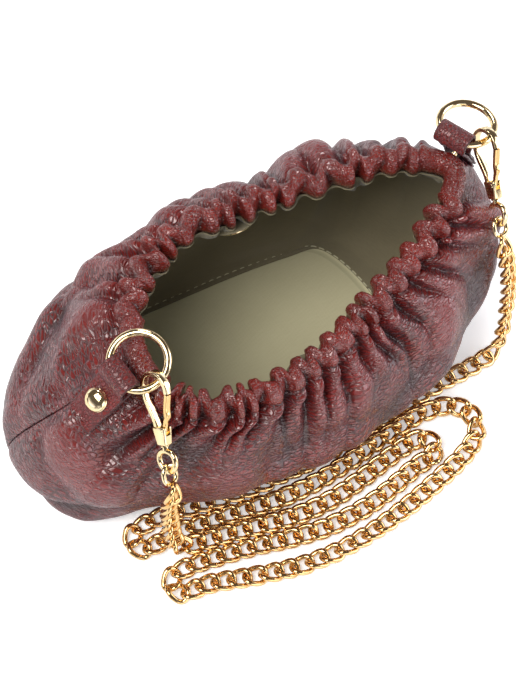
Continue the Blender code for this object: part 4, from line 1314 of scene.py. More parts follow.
class Pouch:
    """Leather walls, gathered rim and lining of the bag."""

    PANEL_COLUMNS = 400
    PANEL_LEVELS = np.concatenate([np.linspace(0, 3, 43)[:-1], np.linspace(3, 5, 70)])
    SEAM_COLUMNS = 5
    CASING_COLUMNS = 1500
    CASING_ROWS = 25
    CASING_SHARE = 0.8
    LINING_COLUMNS = 260
    LINING_ROWS = 90
    FLOOR_TOP = 0.0048
    FLOOR_HEIGHT = 0.0042
    FLOOR_SHARES = np.concatenate([[0.958, 0.950, 0.940, 0.930, 0.920, 0.905, 0.89],
                                   np.linspace(0.87, 0.02, 40)])
    SEAM_SHARE = 0.940
    WELT = 0.00075
    STITCH_HEIGHT = 0.0056
    STITCH_PITCH = 0.0038
    STITCH_LENGTH = 0.0026
    STITCH_RADIUS = 0.00032
    BROAD = Waves(26.0, 3.1, 0.0018)
    FINE = Waves(120.0, 7.7, 0.00040)
    BOBS = (Waves(85.0, 4.0, 0.0020), Waves(190.0, 9.0, 0.0012))
    WRINKLE = Waves(620.0, 5.0, 0.00042)
    LINING_WAVES = Waves(30.0, 12.0, 0.0024)
    FLOOR_WAVES = Waves(30.0, 2.0, 0.0008)
    GUSSETS = ((7.25, 0.55, 0.0034), (7.75, -0.35, 0.0026), (6.6, 0.3, 0.0026), (0.9, 0.4, 0.002))
    FOLDS = (
        Fold(0.45, 3.1, 0.20, 0.030, 0.008, -0.0052, 8.0),
        Fold(0.75, 2.6, 0.25, 0.034, 0.014, 0.0048, 4.0),
        Fold(1.15, 1.55, 0.05, 0.042, 0.0045, -0.0060, -4.0),
        Fold(1.25, 3.2, 0.75, 0.022, 0.006, -0.0050, 6.0),
        Fold(1.75, 3.0, 1.10, 0.024, 0.007, -0.0052),
        Fold(2.10, 2.5, 0.25, 0.036, 0.012, 0.0046, 4.0),
        Fold(2.50, 3.2, 1.20, 0.026, 0.006, -0.0054),
        Fold(2.85, 2.65, 0.35, 0.032, 0.007, -0.0046, 10.0),
        Fold(3.35, 2.9, 1.00, 0.026, 0.010, 0.0044),
        Fold(3.70, 3.1, 0.85, 0.026, 0.006, -0.0052, 6.0),
        Fold(3.95, 2.4, 0.45, 0.034, 0.007, -0.0048, 10.0),
        Fold(4.35, 3.1, 0.95, 0.026, 0.009, 0.0046),
        Fold(4.75, 2.7, 0.75, 0.036, 0.008, -0.0056, 6.0),
        Fold(5.20, 3.1, 0.90, 0.024, 0.009, 0.0046),
        Fold(5.45, 2.75, 0.55, 0.030, 0.005, -0.0054, 6.0),
        Fold(5.80, 2.0, 1.30, 0.030, 0.011, 0.0036),
        Fold(7.20, 2.7, 1.90, 0.030, 0.008, -0.0050),
        Fold(7.90, 3.2, 1.60, 0.024, 0.009, 0.0042),
        Fold(8.60, 2.8, 1.80, 0.028, 0.008, -0.0048),
        Fold(9.40, 3.2, 1.40, 0.026, 0.010, 0.0044),
        Fold(9.80, 2.9, 2.20, 0.026, 0.006, -0.0046, 6.0),
        Fold(10.30, 2.8, 2.60, 0.036, 0.006, -0.0060, 8.0),
        Fold(10.80, 3.1, 2.35, 0.034, 0.011, 0.0054, 6.0),
        Fold(11.30, 2.7, 2.45, 0.036, 0.006, -0.0062, 6.0),
        Fold(11.65, 3.2, 2.60, 0.028, 0.009, 0.0048),
    )

    def __init__(self, finishes: Finishes, sizes: PouchSizes, gathers: GatherSizes) -> None:
        """Work out the smooth form and place the gathers.

        Args:
            finishes: The materials.
            sizes: Sizes of the pouch.
            gathers: Sizes of the gathers.
        """
        self.finishes = finishes
        self.sizes = sizes
        self.wall, self.rim = WallSizes(), RimShape()
        self.form = PouchForm(sizes)
        tabs = (0.0, float(self.form.length_at(np.array(float(RIGHT_STATION)))))
        self.gathers = Gathers(gathers, self.form.girth, tabs)

    def fold_height(self, points: Array, stations: Array, levels: Array) -> Array:
        """Height of the soft folds over a grid of wall points.

        Args:
            points: The smooth points, shape (levels, stations, 3).
            stations, levels: Where the columns and rows are.

        Returns:
            One height for each point.
        """
        height = np.zeros(points.shape[:2])
        along = unit(np.gradient(points, axis=1))
        up = unit(np.gradient(points, axis=0))
        for fold in self.FOLDS:
            gap = station_gap(stations, fold.station)
            if np.abs(gap).min() > self.wall.fold_stations:
                continue
            column = int(np.argmin(np.abs(gap)))
            row = int(np.argmin(np.abs(levels - fold.level)))
            away = points - points[row, column]
            across = away @ along[row, column]
            rise = away @ up[row, column]
            c, s = math.cos(fold.turn), math.sin(fold.turn)
            run, side = across * c + rise * s, -across * s + rise * c
            side = side + fold.bow * run * run
            power = 1.15 if fold.depth < 0 else 1.8
            shape = np.exp(-(run / fold.length) ** 2 - np.abs(side / fold.width) ** power)
            depth = np.abs(away @ np.cross(along[row, column], up[row, column]))
            height += fold.depth * shape * np.exp(-(depth / self.wall.fold_reach) ** 2)
        return height

    def swayed(self, points: Array, along: Array, fade: Array) -> Array:
        """Points moved with the rim's winding, by a fade from 1 to 0.

        Args:
            points: Grid of points, shape (rows, columns, 3).
            along: Distance along the mouth of each column.
            fade: Share of the winding, shape (rows, columns).

        Returns:
            The moved points.
        """
        out, ahead = self.form.rim_axes(self.form.station_at(along % self.form.girth))
        shift, swing = self.gathers.sway(along)
        move = out * swing[:, None] + ahead * shift[:, None]
        return points + move[None] * fade[..., None]

    def wall_points(self, stations: Array, levels: Array) -> tuple[Array, Array, Array]:
        """Gathered and folded points of the outer face.

        Args:
            stations: Stations of the columns.
            levels: Levels of the rows.

        Returns:
            Points, the crest value of each, and UV places.
        """
        w, g = self.wall, self.gathers
        points = self.form.wall(stations, levels)
        normal = grid_normals(points)
        rise = reach_along(points)
        depth = rise[-1] - rise
        along = self.form.length_at(stations)
        calm = g.calm(along)[None]
        phase = g.phase(along)
        drift = g.blended(g.drift, phase)[None] * (depth / g.sizes.shortest) ** 1.3
        fade = np.exp(-(depth / g.blended(g.reach, phase)[None]) ** 2.2)
        wide = np.broadcast_to(along, depth.shape)
        wave = g.columns(wide, drift, 0.62)
        begin = 0.45 + 0.55 * smoothstep(0.0, w.begin, depth)
        gathered = (wave - 0.4) * g.sizes.body_depth * fade * begin
        billow = g.billows(wide, drift * 0.5, 0.55)
        swell = (smoothstep(w.swell_from, w.swell_to, depth)
                 * np.exp(-(depth / w.swell_reach) ** 2))
        flat = calm + (1 - calm) * smoothstep(w.flat_from, w.flat_to, depth)
        gathered = gathered + (billow - 0.5) * g.sizes.billow_depth * swell * flat
        puff = (w.puff * (1 - np.exp(-depth / w.puff_rise))
                * np.exp(-(depth / w.puff_reach) ** 2))
        soft = self.fold_height(points, stations, levels) * flat
        ripples = self.BROAD.over(points) + self.FINE.over(points * (1.0, 1.0, 0.5))
        still = smoothstep(0.0, w.foot, rise) * smoothstep(0.0, w.head, depth)
        ends = np.minimum(stations - stations[0], stations[-1] - stations) / w.seam_stations
        seam = smoothstep(0.0, 1.0, ends)[None]
        lift = (gathered + puff * calm) * seam + (soft + ripples) * still * seam
        most = np.where(lift > 0, w.proud, w.sunk)
        lift = most * np.tanh(lift / most)
        moved = points + normal * lift[..., None]
        moved = self.swayed(moved, along, np.exp(-(depth / w.sway_reach) ** 1.5))
        moved[..., 2] = np.maximum(moved[..., 2], self.sizes.floor)
        # Crest for the finish: high on fold crests for painted highlight, low in valleys for
        # painted shade.
        crest = (wave * fade * 0.95 + (soft + billow * swell * 0.0022) / 0.006) * seam
        crest = np.clip(crest, -1, 1)
        uv = np.stack([wide * 1.25, depth], -1)
        # A last row tucks up under the rim; its crest of -1 gets full painted shade there.
        out = self.form.outward(self.form.mouth, stations)
        tuck = moved[-1:] + np.array((0, 0, w.tuck)) - out[None] * w.tuck * 0.5
        return (np.concatenate([moved, tuck]), np.concatenate([crest, crest[-1:] * 0 - 1]),
                np.concatenate([uv, uv[-1:] - (0, w.tuck)]))

    def add_sheet(self, mesh: Mesh, thickness: float, finish: str, slot: str, node: str) -> Piece:
        """Thicken a sheet into a piece of the bag.

        Args:
            mesh: The open sheet.
            thickness: How thick it gets.
            finish: Its finish.
            slot: Its slot.
            node: The CAD node that it stands for.

        Returns:
            The piece.
        """
        piece = link(mesh)
        thicken(piece, thickness)
        dress(piece, self.finishes[finish], "bag", slot, node)
        return piece

    def build_panels(self) -> list[Piece]:
        """Front and back leather walls.

        Returns:
            Both pieces.
        """
        made = []
        w = self.wall
        for side, span in WALLS.items():
            stations = self.form.columns(*span, self.PANEL_COLUMNS)
            points, crest, uv = self.wall_points(stations, self.PANEL_LEVELS)
            for edge, inner in ((0, 1), (-1, -2)):
                step = unit(points[:, inner] - points[:, edge])
                points[:, edge] += step * (self.sizes.seam_gap / 2) * 0.35
            normal = grid_normals(points)
            for column in range(self.SEAM_COLUMNS):
                sink = w.seam_sink * (1 - column / self.SEAM_COLUMNS) ** 2
                points[:, column] -= normal[:, column] * sink
                points[:, -1 - column] -= normal[:, -1 - column] * sink
            mesh = grid_mesh(f"{side}_panel_leather", points, uv, crest)
            made.append(self.add_sheet(mesh, self.sizes.leather, "body", "leather",
                                       f"{side}_panel"))
        return made

    def build_casing(self) -> Piece:
        """Gathered rim: the folded leather that winds round the elastic.

        Returns:
            The piece.
        """
        form, g, r = self.form, self.gathers, self.rim
        along = np.linspace(0, form.girth, self.CASING_COLUMNS, endpoint=False)
        stations = form.station_at(along)
        crest = closed_curve(form.mouth, stations)
        out, ahead = form.rim_axes(stations)
        shift, swing = g.sway(along)
        calm = g.calm(along)
        width, drop = self.sizes.casing_width / 2, self.sizes.casing_drop
        bob = sum(waves.over(crest) for waves in self.BOBS) * calm
        rows, crests, uvs = [], [], []
        for place in np.linspace(-1, 1, self.CASING_ROWS)[::-1]:
            size = abs(place)
            angle = place * math.pi / 2
            side = math.copysign(abs(math.sin(angle)) ** r.side_power, place) * r.wide
            side *= 1 - r.lip_in * max(0.0, size - r.lip_from) / (1 - r.lip_from)
            furrow = g.furrows(along, place)
            wrinkle = replace(self.WRINKLE, seed=self.WRINKLE.seed + place)
            swell = (r.furrow_middle - furrow) * g.sizes.furrow * calm
            swell = swell + wrinkle.over(crest + out * (place * r.row_step))
            edge = float(smoothstep(1.0, r.edge_from, size))
            tuck = 1.0 - r.outer_in * max(0.0, place - r.outer_from) / (1 - r.outer_from)
            lateral = side * width * tuck + math.sin(angle) * swell * (0.35 + 0.65 * edge) + swing
            rise = abs(math.cos(angle)) * (swell + bob) - drop
            rise = rise + abs(math.cos(angle)) ** r.height_power * drop
            point = crest + out * lateral[:, None] + ahead * (shift * (0.4 + 0.6 * edge))[:, None]
            point[:, 2] = crest[:, 2] + rise
            rows.append(point)
            # Crest for the finish: painted shade in the furrows and a little painted highlight
            # between them.
            crests.append(np.clip(0.35 - 1.35 * furrow, -1, 1))
            uvs.append(np.stack([along, np.full_like(along, place * r.half_width_uv)], -1))
        mesh = grid_mesh("gathered_rim", np.array(rows), np.array(uvs), np.array(crests), wrap=True)
        return self.add_sheet(mesh, self.sizes.leather * self.CASING_SHARE, "rim", "rim_leather",
                              "mouth_casing")

    def build_lining(self) -> list[Piece]:
        """Front and back cotton lining and its floor.

        Returns:
            The three pieces.
        """
        made = []
        g = self.gathers
        levels = np.linspace(0, 5, self.LINING_ROWS + 1)
        rows = levels[:, None]
        for side, span in WALLS.items():
            stations = self.form.columns(*span, self.LINING_COLUMNS)
            points = self.form.lining(stations, levels, self.sizes.lining_inset)
            normal = grid_normals(points)
            rise = reach_along(points)
            depth = rise[-1] - rise
            near = self.form.length_at(stations)
            along = np.broadcast_to(near, depth.shape)
            wave = g.billows(along, 0.3, 0.8)
            fade = np.exp(-(depth / 0.018) ** 1.4) * smoothstep(0.0, 0.004, depth)
            soft = self.LINING_WAVES.over(points)
            soft = soft * smoothstep(0.0, 0.016, rise) * smoothstep(0.0, 0.012, depth)
            lift = -(1 - wave) * g.sizes.lining_depth * fade - np.abs(soft)
            span_fade = smoothstep(0.6, 2.2, rows) * smoothstep(4.6, 3.4, rows)
            for station, turn, size in self.GUSSETS:
                gap = station_gap(stations, station)[None]
                line = np.abs(gap - turn * (rows - 2.0) * 0.35) / 0.16
                lift = lift - size * np.exp(-line ** 1.3) * span_fade
            points = points + normal * lift[..., None]
            points = self.swayed(points, near, np.exp(-(depth / 0.008) ** 1.5))
            points[..., 2] = np.maximum(points[..., 2], self.FLOOR_TOP)
            # Crest for the finish: painted shade in the lining's folds and gussets.
            crest = np.clip(wave * fade * 0.6 + lift / 0.004, -1, 1) * 0.5
            uv = np.stack([along * 1.2, rise], -1)
            mesh = grid_mesh(f"lining_{side}_cotton", points, uv, crest)
            made.append(self.add_sheet(mesh, self.sizes.lining, "cotton", "cotton",
                                       f"lining_{side}"))
        made.append(self.build_lining_floor())
        return made

    def floor_line(self, count: int, share: float, height: float) -> Array:
        """A line round the lining floor.

        Args:
            count: How many points it has.
            share: Share of the way from the middle to the edge.
            height: Its height.

        Returns:
            The points.
        """
        outline = self.form.levels[0]
        edge = closed_curve(outline, np.linspace(0, STATIONS, count, endpoint=False))
        centre = closed_curve(outline, np.linspace(0, STATIONS, 96, endpoint=False)).mean(axis=0)
        path = centre + (edge - centre) * share
        path[:, 2] = height
        return path

    def build_lining_floor(self) -> Piece:
        """Flat cotton floor over the board, with a raised seam round its edge.

        Returns:
            The piece.
        """
        shares = self.FLOOR_SHARES
        welts = self.WELT * np.exp(-((shares - self.SEAM_SHARE) / 0.013) ** 2)
        points = np.array([self.floor_line(240, share, self.FLOOR_HEIGHT + welt)
                           for share, welt in zip(shares, welts)])
        points[..., 2] += np.abs(self.FLOOR_WAVES.over(points))
        shadow = -0.9 * np.exp(-((shares - 0.912) / 0.010) ** 2)
        crest = np.broadcast_to(shadow[:, None], points.shape[:2])
        mesh = grid_mesh("lining_floor_cotton", points, points[..., :2], crest, wrap=True)
        centre = Vector(points[-1].mean(axis=0))
        with editing(mesh) as bm:
            ring = [e for e in bm.edges if e.is_boundary
                    and (e.verts[0].co - centre).xy.length < 0.02]
            bmesh.ops.contextual_create(bm, geom=ring)
        # The lining floor takes the lighter cotton copy, painted as lit.
        return self.add_sheet(mesh, self.sizes.lining, "cotton_floor", "cotton", "lining_floor")

    def build_stitches(self, copies: CopyTree) -> Piece:
        """Stitches along the seam round the lining floor.

        Args:
            copies: The tree that sets them.

        Returns:
            The piece.
        """
        path = self.floor_line(3000, self.SEAM_SHARE, self.STITCH_HEIGHT)
        reach = reach_along(path)
        places = np.arange(0, reach[-1] - 0.002, self.STITCH_PITCH)
        points = points_at(places, reach, path)
        along = unit(np.gradient(points, axis=0))
        up = np.broadcast_to((0.0, 0.0, 1.0), points.shape)
        model = link(stitch_mesh(self.STITCH_LENGTH, self.STITCH_RADIUS))
        piece = copies.run("lining_stitches", model, points, along, up)
        bpy.data.objects.remove(model)
        dress(piece, self.finishes["thread"], "bag", "cotton")
        return piece

    def dress_hidden(self, nodes: dict[str, Piece]) -> None:
        """Finish the plain CAD nodes that stay.

        Args:
            nodes: The CAD nodes by name.
        """
        for name, finish in (("base_panel", "base"), ("base_board", "board"),
                             ("mouth_elastic", "elastic")):
            repaint(nodes[name], self.finishes[finish])


def stitch_mesh(length: float, radius: float) -> Mesh:
    """One stitch: a short thread that dives at both ends."""
    path = [(x * length / 2, 0.0, -radius * 1.6 * abs(x) ** 3) for x in np.linspace(-1, 1, 7)]
    return sweep("stitch_model", np.array(path), circle(radius, 6), (0.0, 0.0, 1.0))


# Tabs, rings and trigger hooks


@dataclass(frozen=True)
class TabSizes:
    """Sizes of the folded tab and its rivet."""

    width: float = 0.0148
    leather: float = 0.0012
    length: float = 0.0270
    merge: float = 0.0090
    sweep: float = 232.0
    rivet_radius: float = 0.0048
    rivet_rise: float = 0.0027
    post: float = 0.0012
    setback: float = 0.0147
    settle: float = 0.0016
    dent: float = 0.00026
    dent_radius: float = 0.0030
    dent_width: float = 0.0034


@dataclass(frozen=True)
class RingSizes:
    """Sizes of the ring."""

    radius: float = 0.0112
    wire: float = 0.00155


@dataclass(frozen=True)
class HookSizes:
    """Sizes of the trigger hook, its gate, swivel and end link."""

    inner: float = 0.0053
    bar: float = 0.0020
    thick: float = 0.0029
    throat: float = 0.0150
    nose: float = 0.0015
    block_length: float = 0.0074
    block_width: float = 0.0068
    block_thick: float = 0.0046
    gate_bar: float = 0.0018
    gate_thick: float = 0.0016
    gate_slot: float = 0.0034
    pin: float = 0.0006
    pin_inset: float = 0.0019
    stem: float = 0.0010
    eye_radius: float = 0.0044
    eye_wire: float = 0.0012
    eye_neck: float = 0.0008
    link_length: float = 0.0012
    link_radius: float = 0.0031
    link_wire: float = 0.0010
    overrun: float = 0.002


@dataclass(frozen=True)
class EndPlace:
    """Where one end's tab, ring and hook lie, in metres and degrees.

    loop: centre of the tab's loop. heading, slope, tilt: how the tab lies. lean: of the ring.
    place: of the hook round the ring. hook_heading, hook_slope, crossing: how the hook hangs.
    """

    loop: tuple[float, float, float]
    heading: float
    slope: float
    tilt: float
    lean: float
    place: float
    hook_heading: float
    hook_slope: float
    crossing: float


LEFT_PLACE = EndPlace((-0.06412, -0.01730, 0.08765), 180, 38, -14, 168, -88, -109, 40, 55)
RIGHT_PLACE = EndPlace((0.10137, 0.00605, 0.09564), 24, 58, 0, -9, -82, -105, 40, 90)


class End:
    """Tab, rivet, ring and trigger hook at one end of the bag."""

    def __init__(self, name: str, where: EndPlace, finishes: Finishes) -> None:
        """Work out the axes of this end.

        Args:
            name: left or right.
            where: How this end lies.
            finishes: The materials.
        """
        self.name = name
        self.finishes = finishes
        self.tab, self.ring, self.hook = TabSizes(), RingSizes(), HookSizes()
        self.clearance = 0.0003
        up = Vector((0, 0, 1))
        heading, slope = math.radians(where.heading), math.radians(where.slope)
        self.loop = Vector(where.loop)
        out = Vector((math.cos(heading), math.sin(heading), 0))
        self.along = out * math.cos(slope) - up * math.sin(slope)
        lie = Matrix.Rotation(math.radians(where.tilt), 3, self.along)
        self.axis = lie @ Vector((-out.y, out.x, 0))
        self.normal = lie @ (out * math.sin(slope) + up * math.cos(slope))
        lean = math.radians(where.lean) + slope
        self.radial = self.along * math.cos(lean) + self.normal * math.sin(lean)
        least = math.sqrt((self.ring.radius - self.ring.wire) ** 2 - (self.tab.width / 2) ** 2)
        most = self.ring.radius + self.ring.wire
        self.bore = (most - least) / 2 + self.clearance
        self.ring_centre = self.loop + self.radial * ((most + least) / 2)
        self.ring_normal = self.radial.cross(self.axis)
        if self.ring_normal.z < 0:
            self.ring_normal.negate()
        place = math.radians(where.place)
        spot = Vector((math.cos(place), math.sin(place), 0))
        spot -= self.ring_normal * spot.dot(self.ring_normal)
        self.seat = self.ring_centre + spot.normalized() * self.ring.radius
        wire_axis = self.ring_normal.cross(spot.normalized())
        hook_heading = math.radians(where.hook_heading)
        hook_slope = math.radians(where.hook_slope)
        level = Vector((math.cos(hook_heading), math.sin(hook_heading), 0))
        self.hang = level * math.cos(hook_slope) - up * math.sin(hook_slope)
        side = (wire_axis - self.hang * wire_axis.dot(self.hang)).normalized()
        face = side.cross(self.hang)
        if face.z < 0:
            side.negate()
            face.negate()
        turn = Matrix.Rotation(math.radians(where.crossing), 3, self.hang)
        self.side, self.face = turn @ side, turn @ face
        self.bow = self.seat + self.hang * 0.0013
        self.frame = axes(self.bow, self.side, -self.hang, self.side.cross(-self.hang))

    @property
    def eye_centre(self) -> float:
        """Height of the swivel eye's centre in the hook's frame."""
        h = self.hook
        return -h.throat - h.block_length - h.eye_neck - h.eye_wire - h.eye_radius

    @property
    def link_top(self) -> float:
        """Height of the end link's upper wire in the hook's frame."""
        h = self.hook
        return self.eye_centre - h.eye_radius + h.link_wire + h.eye_wire + self.clearance

    @property
    def link_foot(self) -> Vector:
        """Point just below the end link, where the chain starts.

        Returns:
            The point in the bag's frame.
        """
        h = self.hook
        foot = (self.link_top - h.link_length - 2 * h.link_radius - h.link_wire
                - self.clearance)
        return self.frame @ Vector((0, foot, 0))

    def called(self, part: str) -> str:
        """This end's name for a piece, body or node."""
        return f"{self.name}_{part}"

    def add(self, mesh: Mesh, finish: str, body: str, slot: str, *parts: str) -> None:
        """Link a mesh as a piece of this end.

        Args:
            mesh: The mesh, in its place.
            finish: Its finish.
            body: The body that it rides on.
            slot: Its slot.
            parts: The parts of this end whose CAD nodes it stands for.
        """
        dress(link(mesh), self.finishes[finish], body, slot, *map(self.called, parts))

    def tab_line(self) -> tuple[Array, Array]:
        """Middle line of the folded strap, from its tail under the wall to its outer end.

        Returns:
            The distances of its points, and the points in the plane of its fold.
        """
        t = self.tab
        middle = self.bore + t.leather / 2
        line = [(t.length + 0.0002, -middle), (t.length * 0.66, -middle),
                (t.length * 0.33, -middle)]
        for angle in np.radians(np.linspace(-90, -90 - t.sweep, 26)):
            line.append((middle * math.cos(angle), middle * math.sin(angle)))
        outer = -middle + t.leather + self.clearance
        line += [(t.merge * 0.72, outer + 0.0004), (t.merge, outer), (t.length * 0.55, outer),
                 (t.length * 0.75, outer), (t.length, outer)]
        line = np.array(line)
        reach = reach_along(line)
        places = np.linspace(0, reach[-1], 170)
        line = points_at(places, reach, line)
        line[1:-1] = 0.25 * line[:-2] + 0.5 * line[1:-1] + 0.25 * line[2:]
        return places, line

    def tab_section(self) -> Array:
        """Outline across the strap, thinner at its cut edges.

        Returns:
            Places across and over it.
        """
        t = self.tab
        half, edge = t.leather / 2, t.leather * 0.34
        across = np.concatenate([np.linspace(-1, -0.9, 5)[:-1], np.linspace(-0.9, 0.9, 25),
                                 np.linspace(0.9, 1, 5)[1:]])
        section = []
        for side in (1, -1):
            for share in across[::side]:
                drop = max(0.0, abs(share) - 0.93) / 0.07
                section.append((share * t.width / 2, side * (half - edge * drop ** 2)))
        return np.array(section)

    def build_tab(self) -> None:
        """Folded strap through the ring, with soft edges and a dent round its rivet."""
        t = self.tab
        places, line = self.tab_line()
        section = self.tab_section()
        tangent = unit(np.gradient(line, axis=0))
        normal = np.stack([-tangent[:, 1], tangent[:, 0]], -1)
        rings = np.zeros((len(line), len(section), 3))
        rings[..., :2] = line[:, None] + normal[:, None] * section[None, :, 1:]
        taper = 1 - 0.05 * smoothstep(t.length * 0.3, t.length, line[:, :1])
        rings[..., 2] = section[None, :, 0] * taper
        on_top = places > places[-1] * 0.6
        gap = np.hypot(rings[..., 0] - t.setback, rings[..., 2])
        dent = t.dent * np.exp(-((gap - t.dent_radius) / t.dent_width) ** 2) * on_top[:, None]
        rings[..., 1] -= np.minimum(dent, self.clearance * 0.8)
        rings[..., 1] -= smoothstep(t.length * 0.62, t.length, rings[..., 0]) * t.settle
        rim_side = smoothstep(0.45, 1.0, np.abs(rings[..., 2]) / (t.width / 2))
        flat = smoothstep(t.merge * 0.8, t.merge * 1.6, rings[..., 0])
        rings[..., 1] -= rim_side * flat * t.settle * 0.45
        share = np.abs(section[:, 0]) / (t.width / 2)
        crest = np.broadcast_to(np.where(share > 0.94, -0.8, 0.1), rings.shape[:2])
        uv = np.stack(np.broadcast_arrays(places[:, None], section[None, :, 0]), -1)
        mesh = grid_mesh(self.called("tab_strap"), rings, uv, crest, wrap=True)
        seal(mesh, rings.shape[:2])
        mesh.transform(axes(self.loop, self.along, self.normal, self.along.cross(self.normal)))
        shade(mesh, 50)
        self.add(mesh, "tab", "bag", "leather", "tab")

    def build_rivet(self) -> None:
        """Domed rivet with a fine rim, and its post through tab and wall."""
        t = self.tab
        seat = t.leather - self.bore + 2 * self.clearance
        frame = axes(self.loop + self.along * t.setback, self.along,
                     self.normal.cross(self.along), self.normal)
        low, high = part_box(self.called("rivet"))
        post = max(0.004, min((Vector(high) - Vector(low)).length * 0.7, 0.009))
        profile = [(0.0, seat - post), (t.post, seat - post), (t.post, seat - 0.0003),
                   (t.rivet_radius - 0.0003, seat - 0.0003), (t.rivet_radius, seat),
                   (t.rivet_radius, seat + 0.0004), (t.rivet_radius - 0.0002, seat + 0.0006)]
        for k in range(1, 19):
            angle = math.radians(90 * k / 19)
            profile.append(((t.rivet_radius - 0.00025) * math.cos(angle) ** 0.92,
                            seat + 0.0006 + (t.rivet_rise - 0.0006) * math.sin(angle)))
        profile.append((0.0, seat + t.rivet_rise))
        mesh = lathe(self.called("rivet_dome"), profile, frame)
        self.add(mesh, "gold", "bag", "gold", "rivet")

    def build_ring(self) -> None:
        """Smooth round ring."""
        x_axis, y_axis = self.radial, self.ring_normal.cross(self.radial)
        path = np.array([self.ring_centre + x_axis * x + y_axis * y
                         for x, y in circle(self.ring.radius, 128)])
        mesh = sweep(self.called("ring_wire"), path, circle(self.ring.wire, 24),
                     tuple(self.ring_normal), closed=True)
        shade(mesh)
        self.add(mesh, "gold", self.called("ring_body"), "gold", "ring")

    def build_hook(self) -> None:
        """Hook body: block, long arm and flat bow in one run, with its pin."""
        h = self.hook
        radius = h.inner + h.bar / 2
        foot_x = h.block_width / 2 - h.bar / 2 - 0.0002
        line = [(foot_x, -h.throat - 0.0016), (foot_x, -h.throat), (foot_x + 0.0006, -0.0120),
                (radius - 0.0006, -0.0050)]
        line += [(radius * math.cos(a), radius * math.sin(a))
                 for a in np.radians(range(-8, 181, 9))]
        line += [(-radius, -h.nose)]
        line = np.array([(x, y, 0.0) for x, y in line])
        reach = reach_along(line)
        places = np.linspace(0, reach[-1], 110)
        path = open_curve(line, np.interp(places, reach, np.arange(len(line))))
        share = places / reach[-1]
        wide = h.thick * (1 + 0.22 * np.exp(-((share - 0.66) / 0.20) ** 2)
                          - 0.10 * smoothstep(0.9, 1.0, share))
        deep = h.bar * (1 - 0.18 * np.exp(-((share - 0.62) / 0.16) ** 2))
        section = np.array([rounded_section(d, w, 0.00038) for d, w in zip(deep, wide)])
        body = sweep("hook_run", path, section, (0.0, 0.0, 1.0))
        mesh = merge_meshes(self.called("hook_body"), [body, self.block_mesh(), self.pin_mesh()])
        mesh.transform(self.frame)
        shade(mesh, 32)
        self.add(mesh, "gold", self.called("hook_body"), "gold", "hook", "gate_pin")

    def block_mesh(self) -> Mesh:
        """The hook's block with rounded edges, a shoulder and the gate slot.

        Returns:
            The mesh in the hook's frame.
        """
        h = self.hook
        mesh = bpy.data.meshes.new("hook_block")
        with editing(mesh) as bm:
            bmesh.ops.create_cube(bm, size=1.0, matrix=Matrix.Diagonal(
                (h.block_width, h.block_length, h.block_thick, 1.0)))
            for vert in bm.verts:
                if vert.co.y < 0:
                    vert.co.x *= 0.74
                    vert.co.z *= 0.84
            bmesh.ops.translate(bm, verts=bm.verts, vec=(0, -h.throat - h.block_length / 2, 0))
            bmesh.ops.bevel(bm, geom=bm.edges[:], offset=0.0007, segments=4, profile=0.5,
                            affect="EDGES")
        slot = (h.block_width / 2 + h.overrun, h.gate_slot + h.overrun, h.gate_thick + 0.0006)
        place = Matrix.Translation((-h.block_width / 2 - h.overrun + slot[0] / 2,
                                    -h.throat - h.gate_slot + slot[1] / 2, 0))
        slot_mesh = bpy.data.meshes.new("hook_slot")
        with editing(slot_mesh) as bm:
            bmesh.ops.create_cube(bm, size=1.0, matrix=place @ Matrix.Diagonal((*slot, 1.0)))
        block, cutter = link(mesh), link(slot_mesh)
        modifier = block.modifiers.new("slot", "BOOLEAN")
        modifier.operation = "DIFFERENCE"
        modifier.object = cutter
        bake_modifiers(block)
        mesh = block.data.copy()
        bpy.data.objects.remove(block)
        bpy.data.objects.remove(cutter)
        return mesh

    def pin_mesh(self) -> Mesh:
        """Domed heads of the gate's pin on both faces of the block.

        Returns:
            The mesh in the hook's frame.
        """
        h = self.hook
        top = h.block_thick / 2 - 0.0001
        profile = [(0.0, -top - 0.0003), (h.pin * 1.3, -top - 0.0002), (h.pin * 1.7, -top + 0.0003),
                   (h.pin, -top + 0.0005), (h.pin, top - 0.0005), (h.pin * 1.7, top - 0.0003),
                   (h.pin * 1.3, top + 0.0002), (0.0, top + 0.0003)]
        return lathe("hook_pin", profile, Matrix.Translation(self.pivot()), 24)

    def pivot(self) -> Vector:
        """The gate pin's place in the hook's frame."""
        h = self.hook
        return Vector((-h.block_width / 2 + h.pin_inset, -h.throat - h.gate_slot / 2, 0))

    def build_gate(self) -> None:
        """Gate bar with a thumb pad, from its pin up to the nose."""
        h = self.hook
        start = self.pivot()
        tip = Vector((-h.inner - h.bar / 2, -h.nose - self.clearance, 0))
        share = np.linspace(0, 1, 40)
        path = np.array([start.lerp(tip, k) for k in np.linspace(-0.02, 1.0, 40)])
        across = (tip - start).normalized().cross(Vector((0, 0, 1)))
        path = path - np.array(across) * 0.0006 * np.exp(-((share - 0.42) / 0.12) ** 2)[:, None]
        deep = h.gate_bar + 0.00055 * np.exp(-((share - 0.42) / 0.10) ** 2)
        wide = h.gate_thick + 0.0009 * smoothstep(0.28, 0.55, share)
        section = np.array([rounded_section(d, w, 0.0004) for d, w in zip(deep, wide)])
        mesh = sweep(self.called("gate_bar"), path, section, (0.0, 0.0, 1.0))
        mesh.transform(self.frame)
        shade(mesh, 32)
        self.add(mesh, "gate_gold", self.called("gate_body"), "gold", "gate")

    def link_path(self) -> Array:
        """Oval of the end link: two half circles with straight sides between them.

        Returns:
            Its points in the hook's frame.
        """
        h = self.hook
        upper = self.link_top - h.link_radius
        path = []
        for centre, way in ((upper, 1), (upper - h.link_length, -1)):
            for a in np.linspace(0, math.pi, 25):
                path.append((0.0, centre + way * h.link_radius * math.sin(a),
                             way * h.link_radius * math.cos(a)))
            for k in range(1, 3):
                path.append((0.0, centre - way * h.link_length * k / 3, -way * h.link_radius))
        return np.array(path)

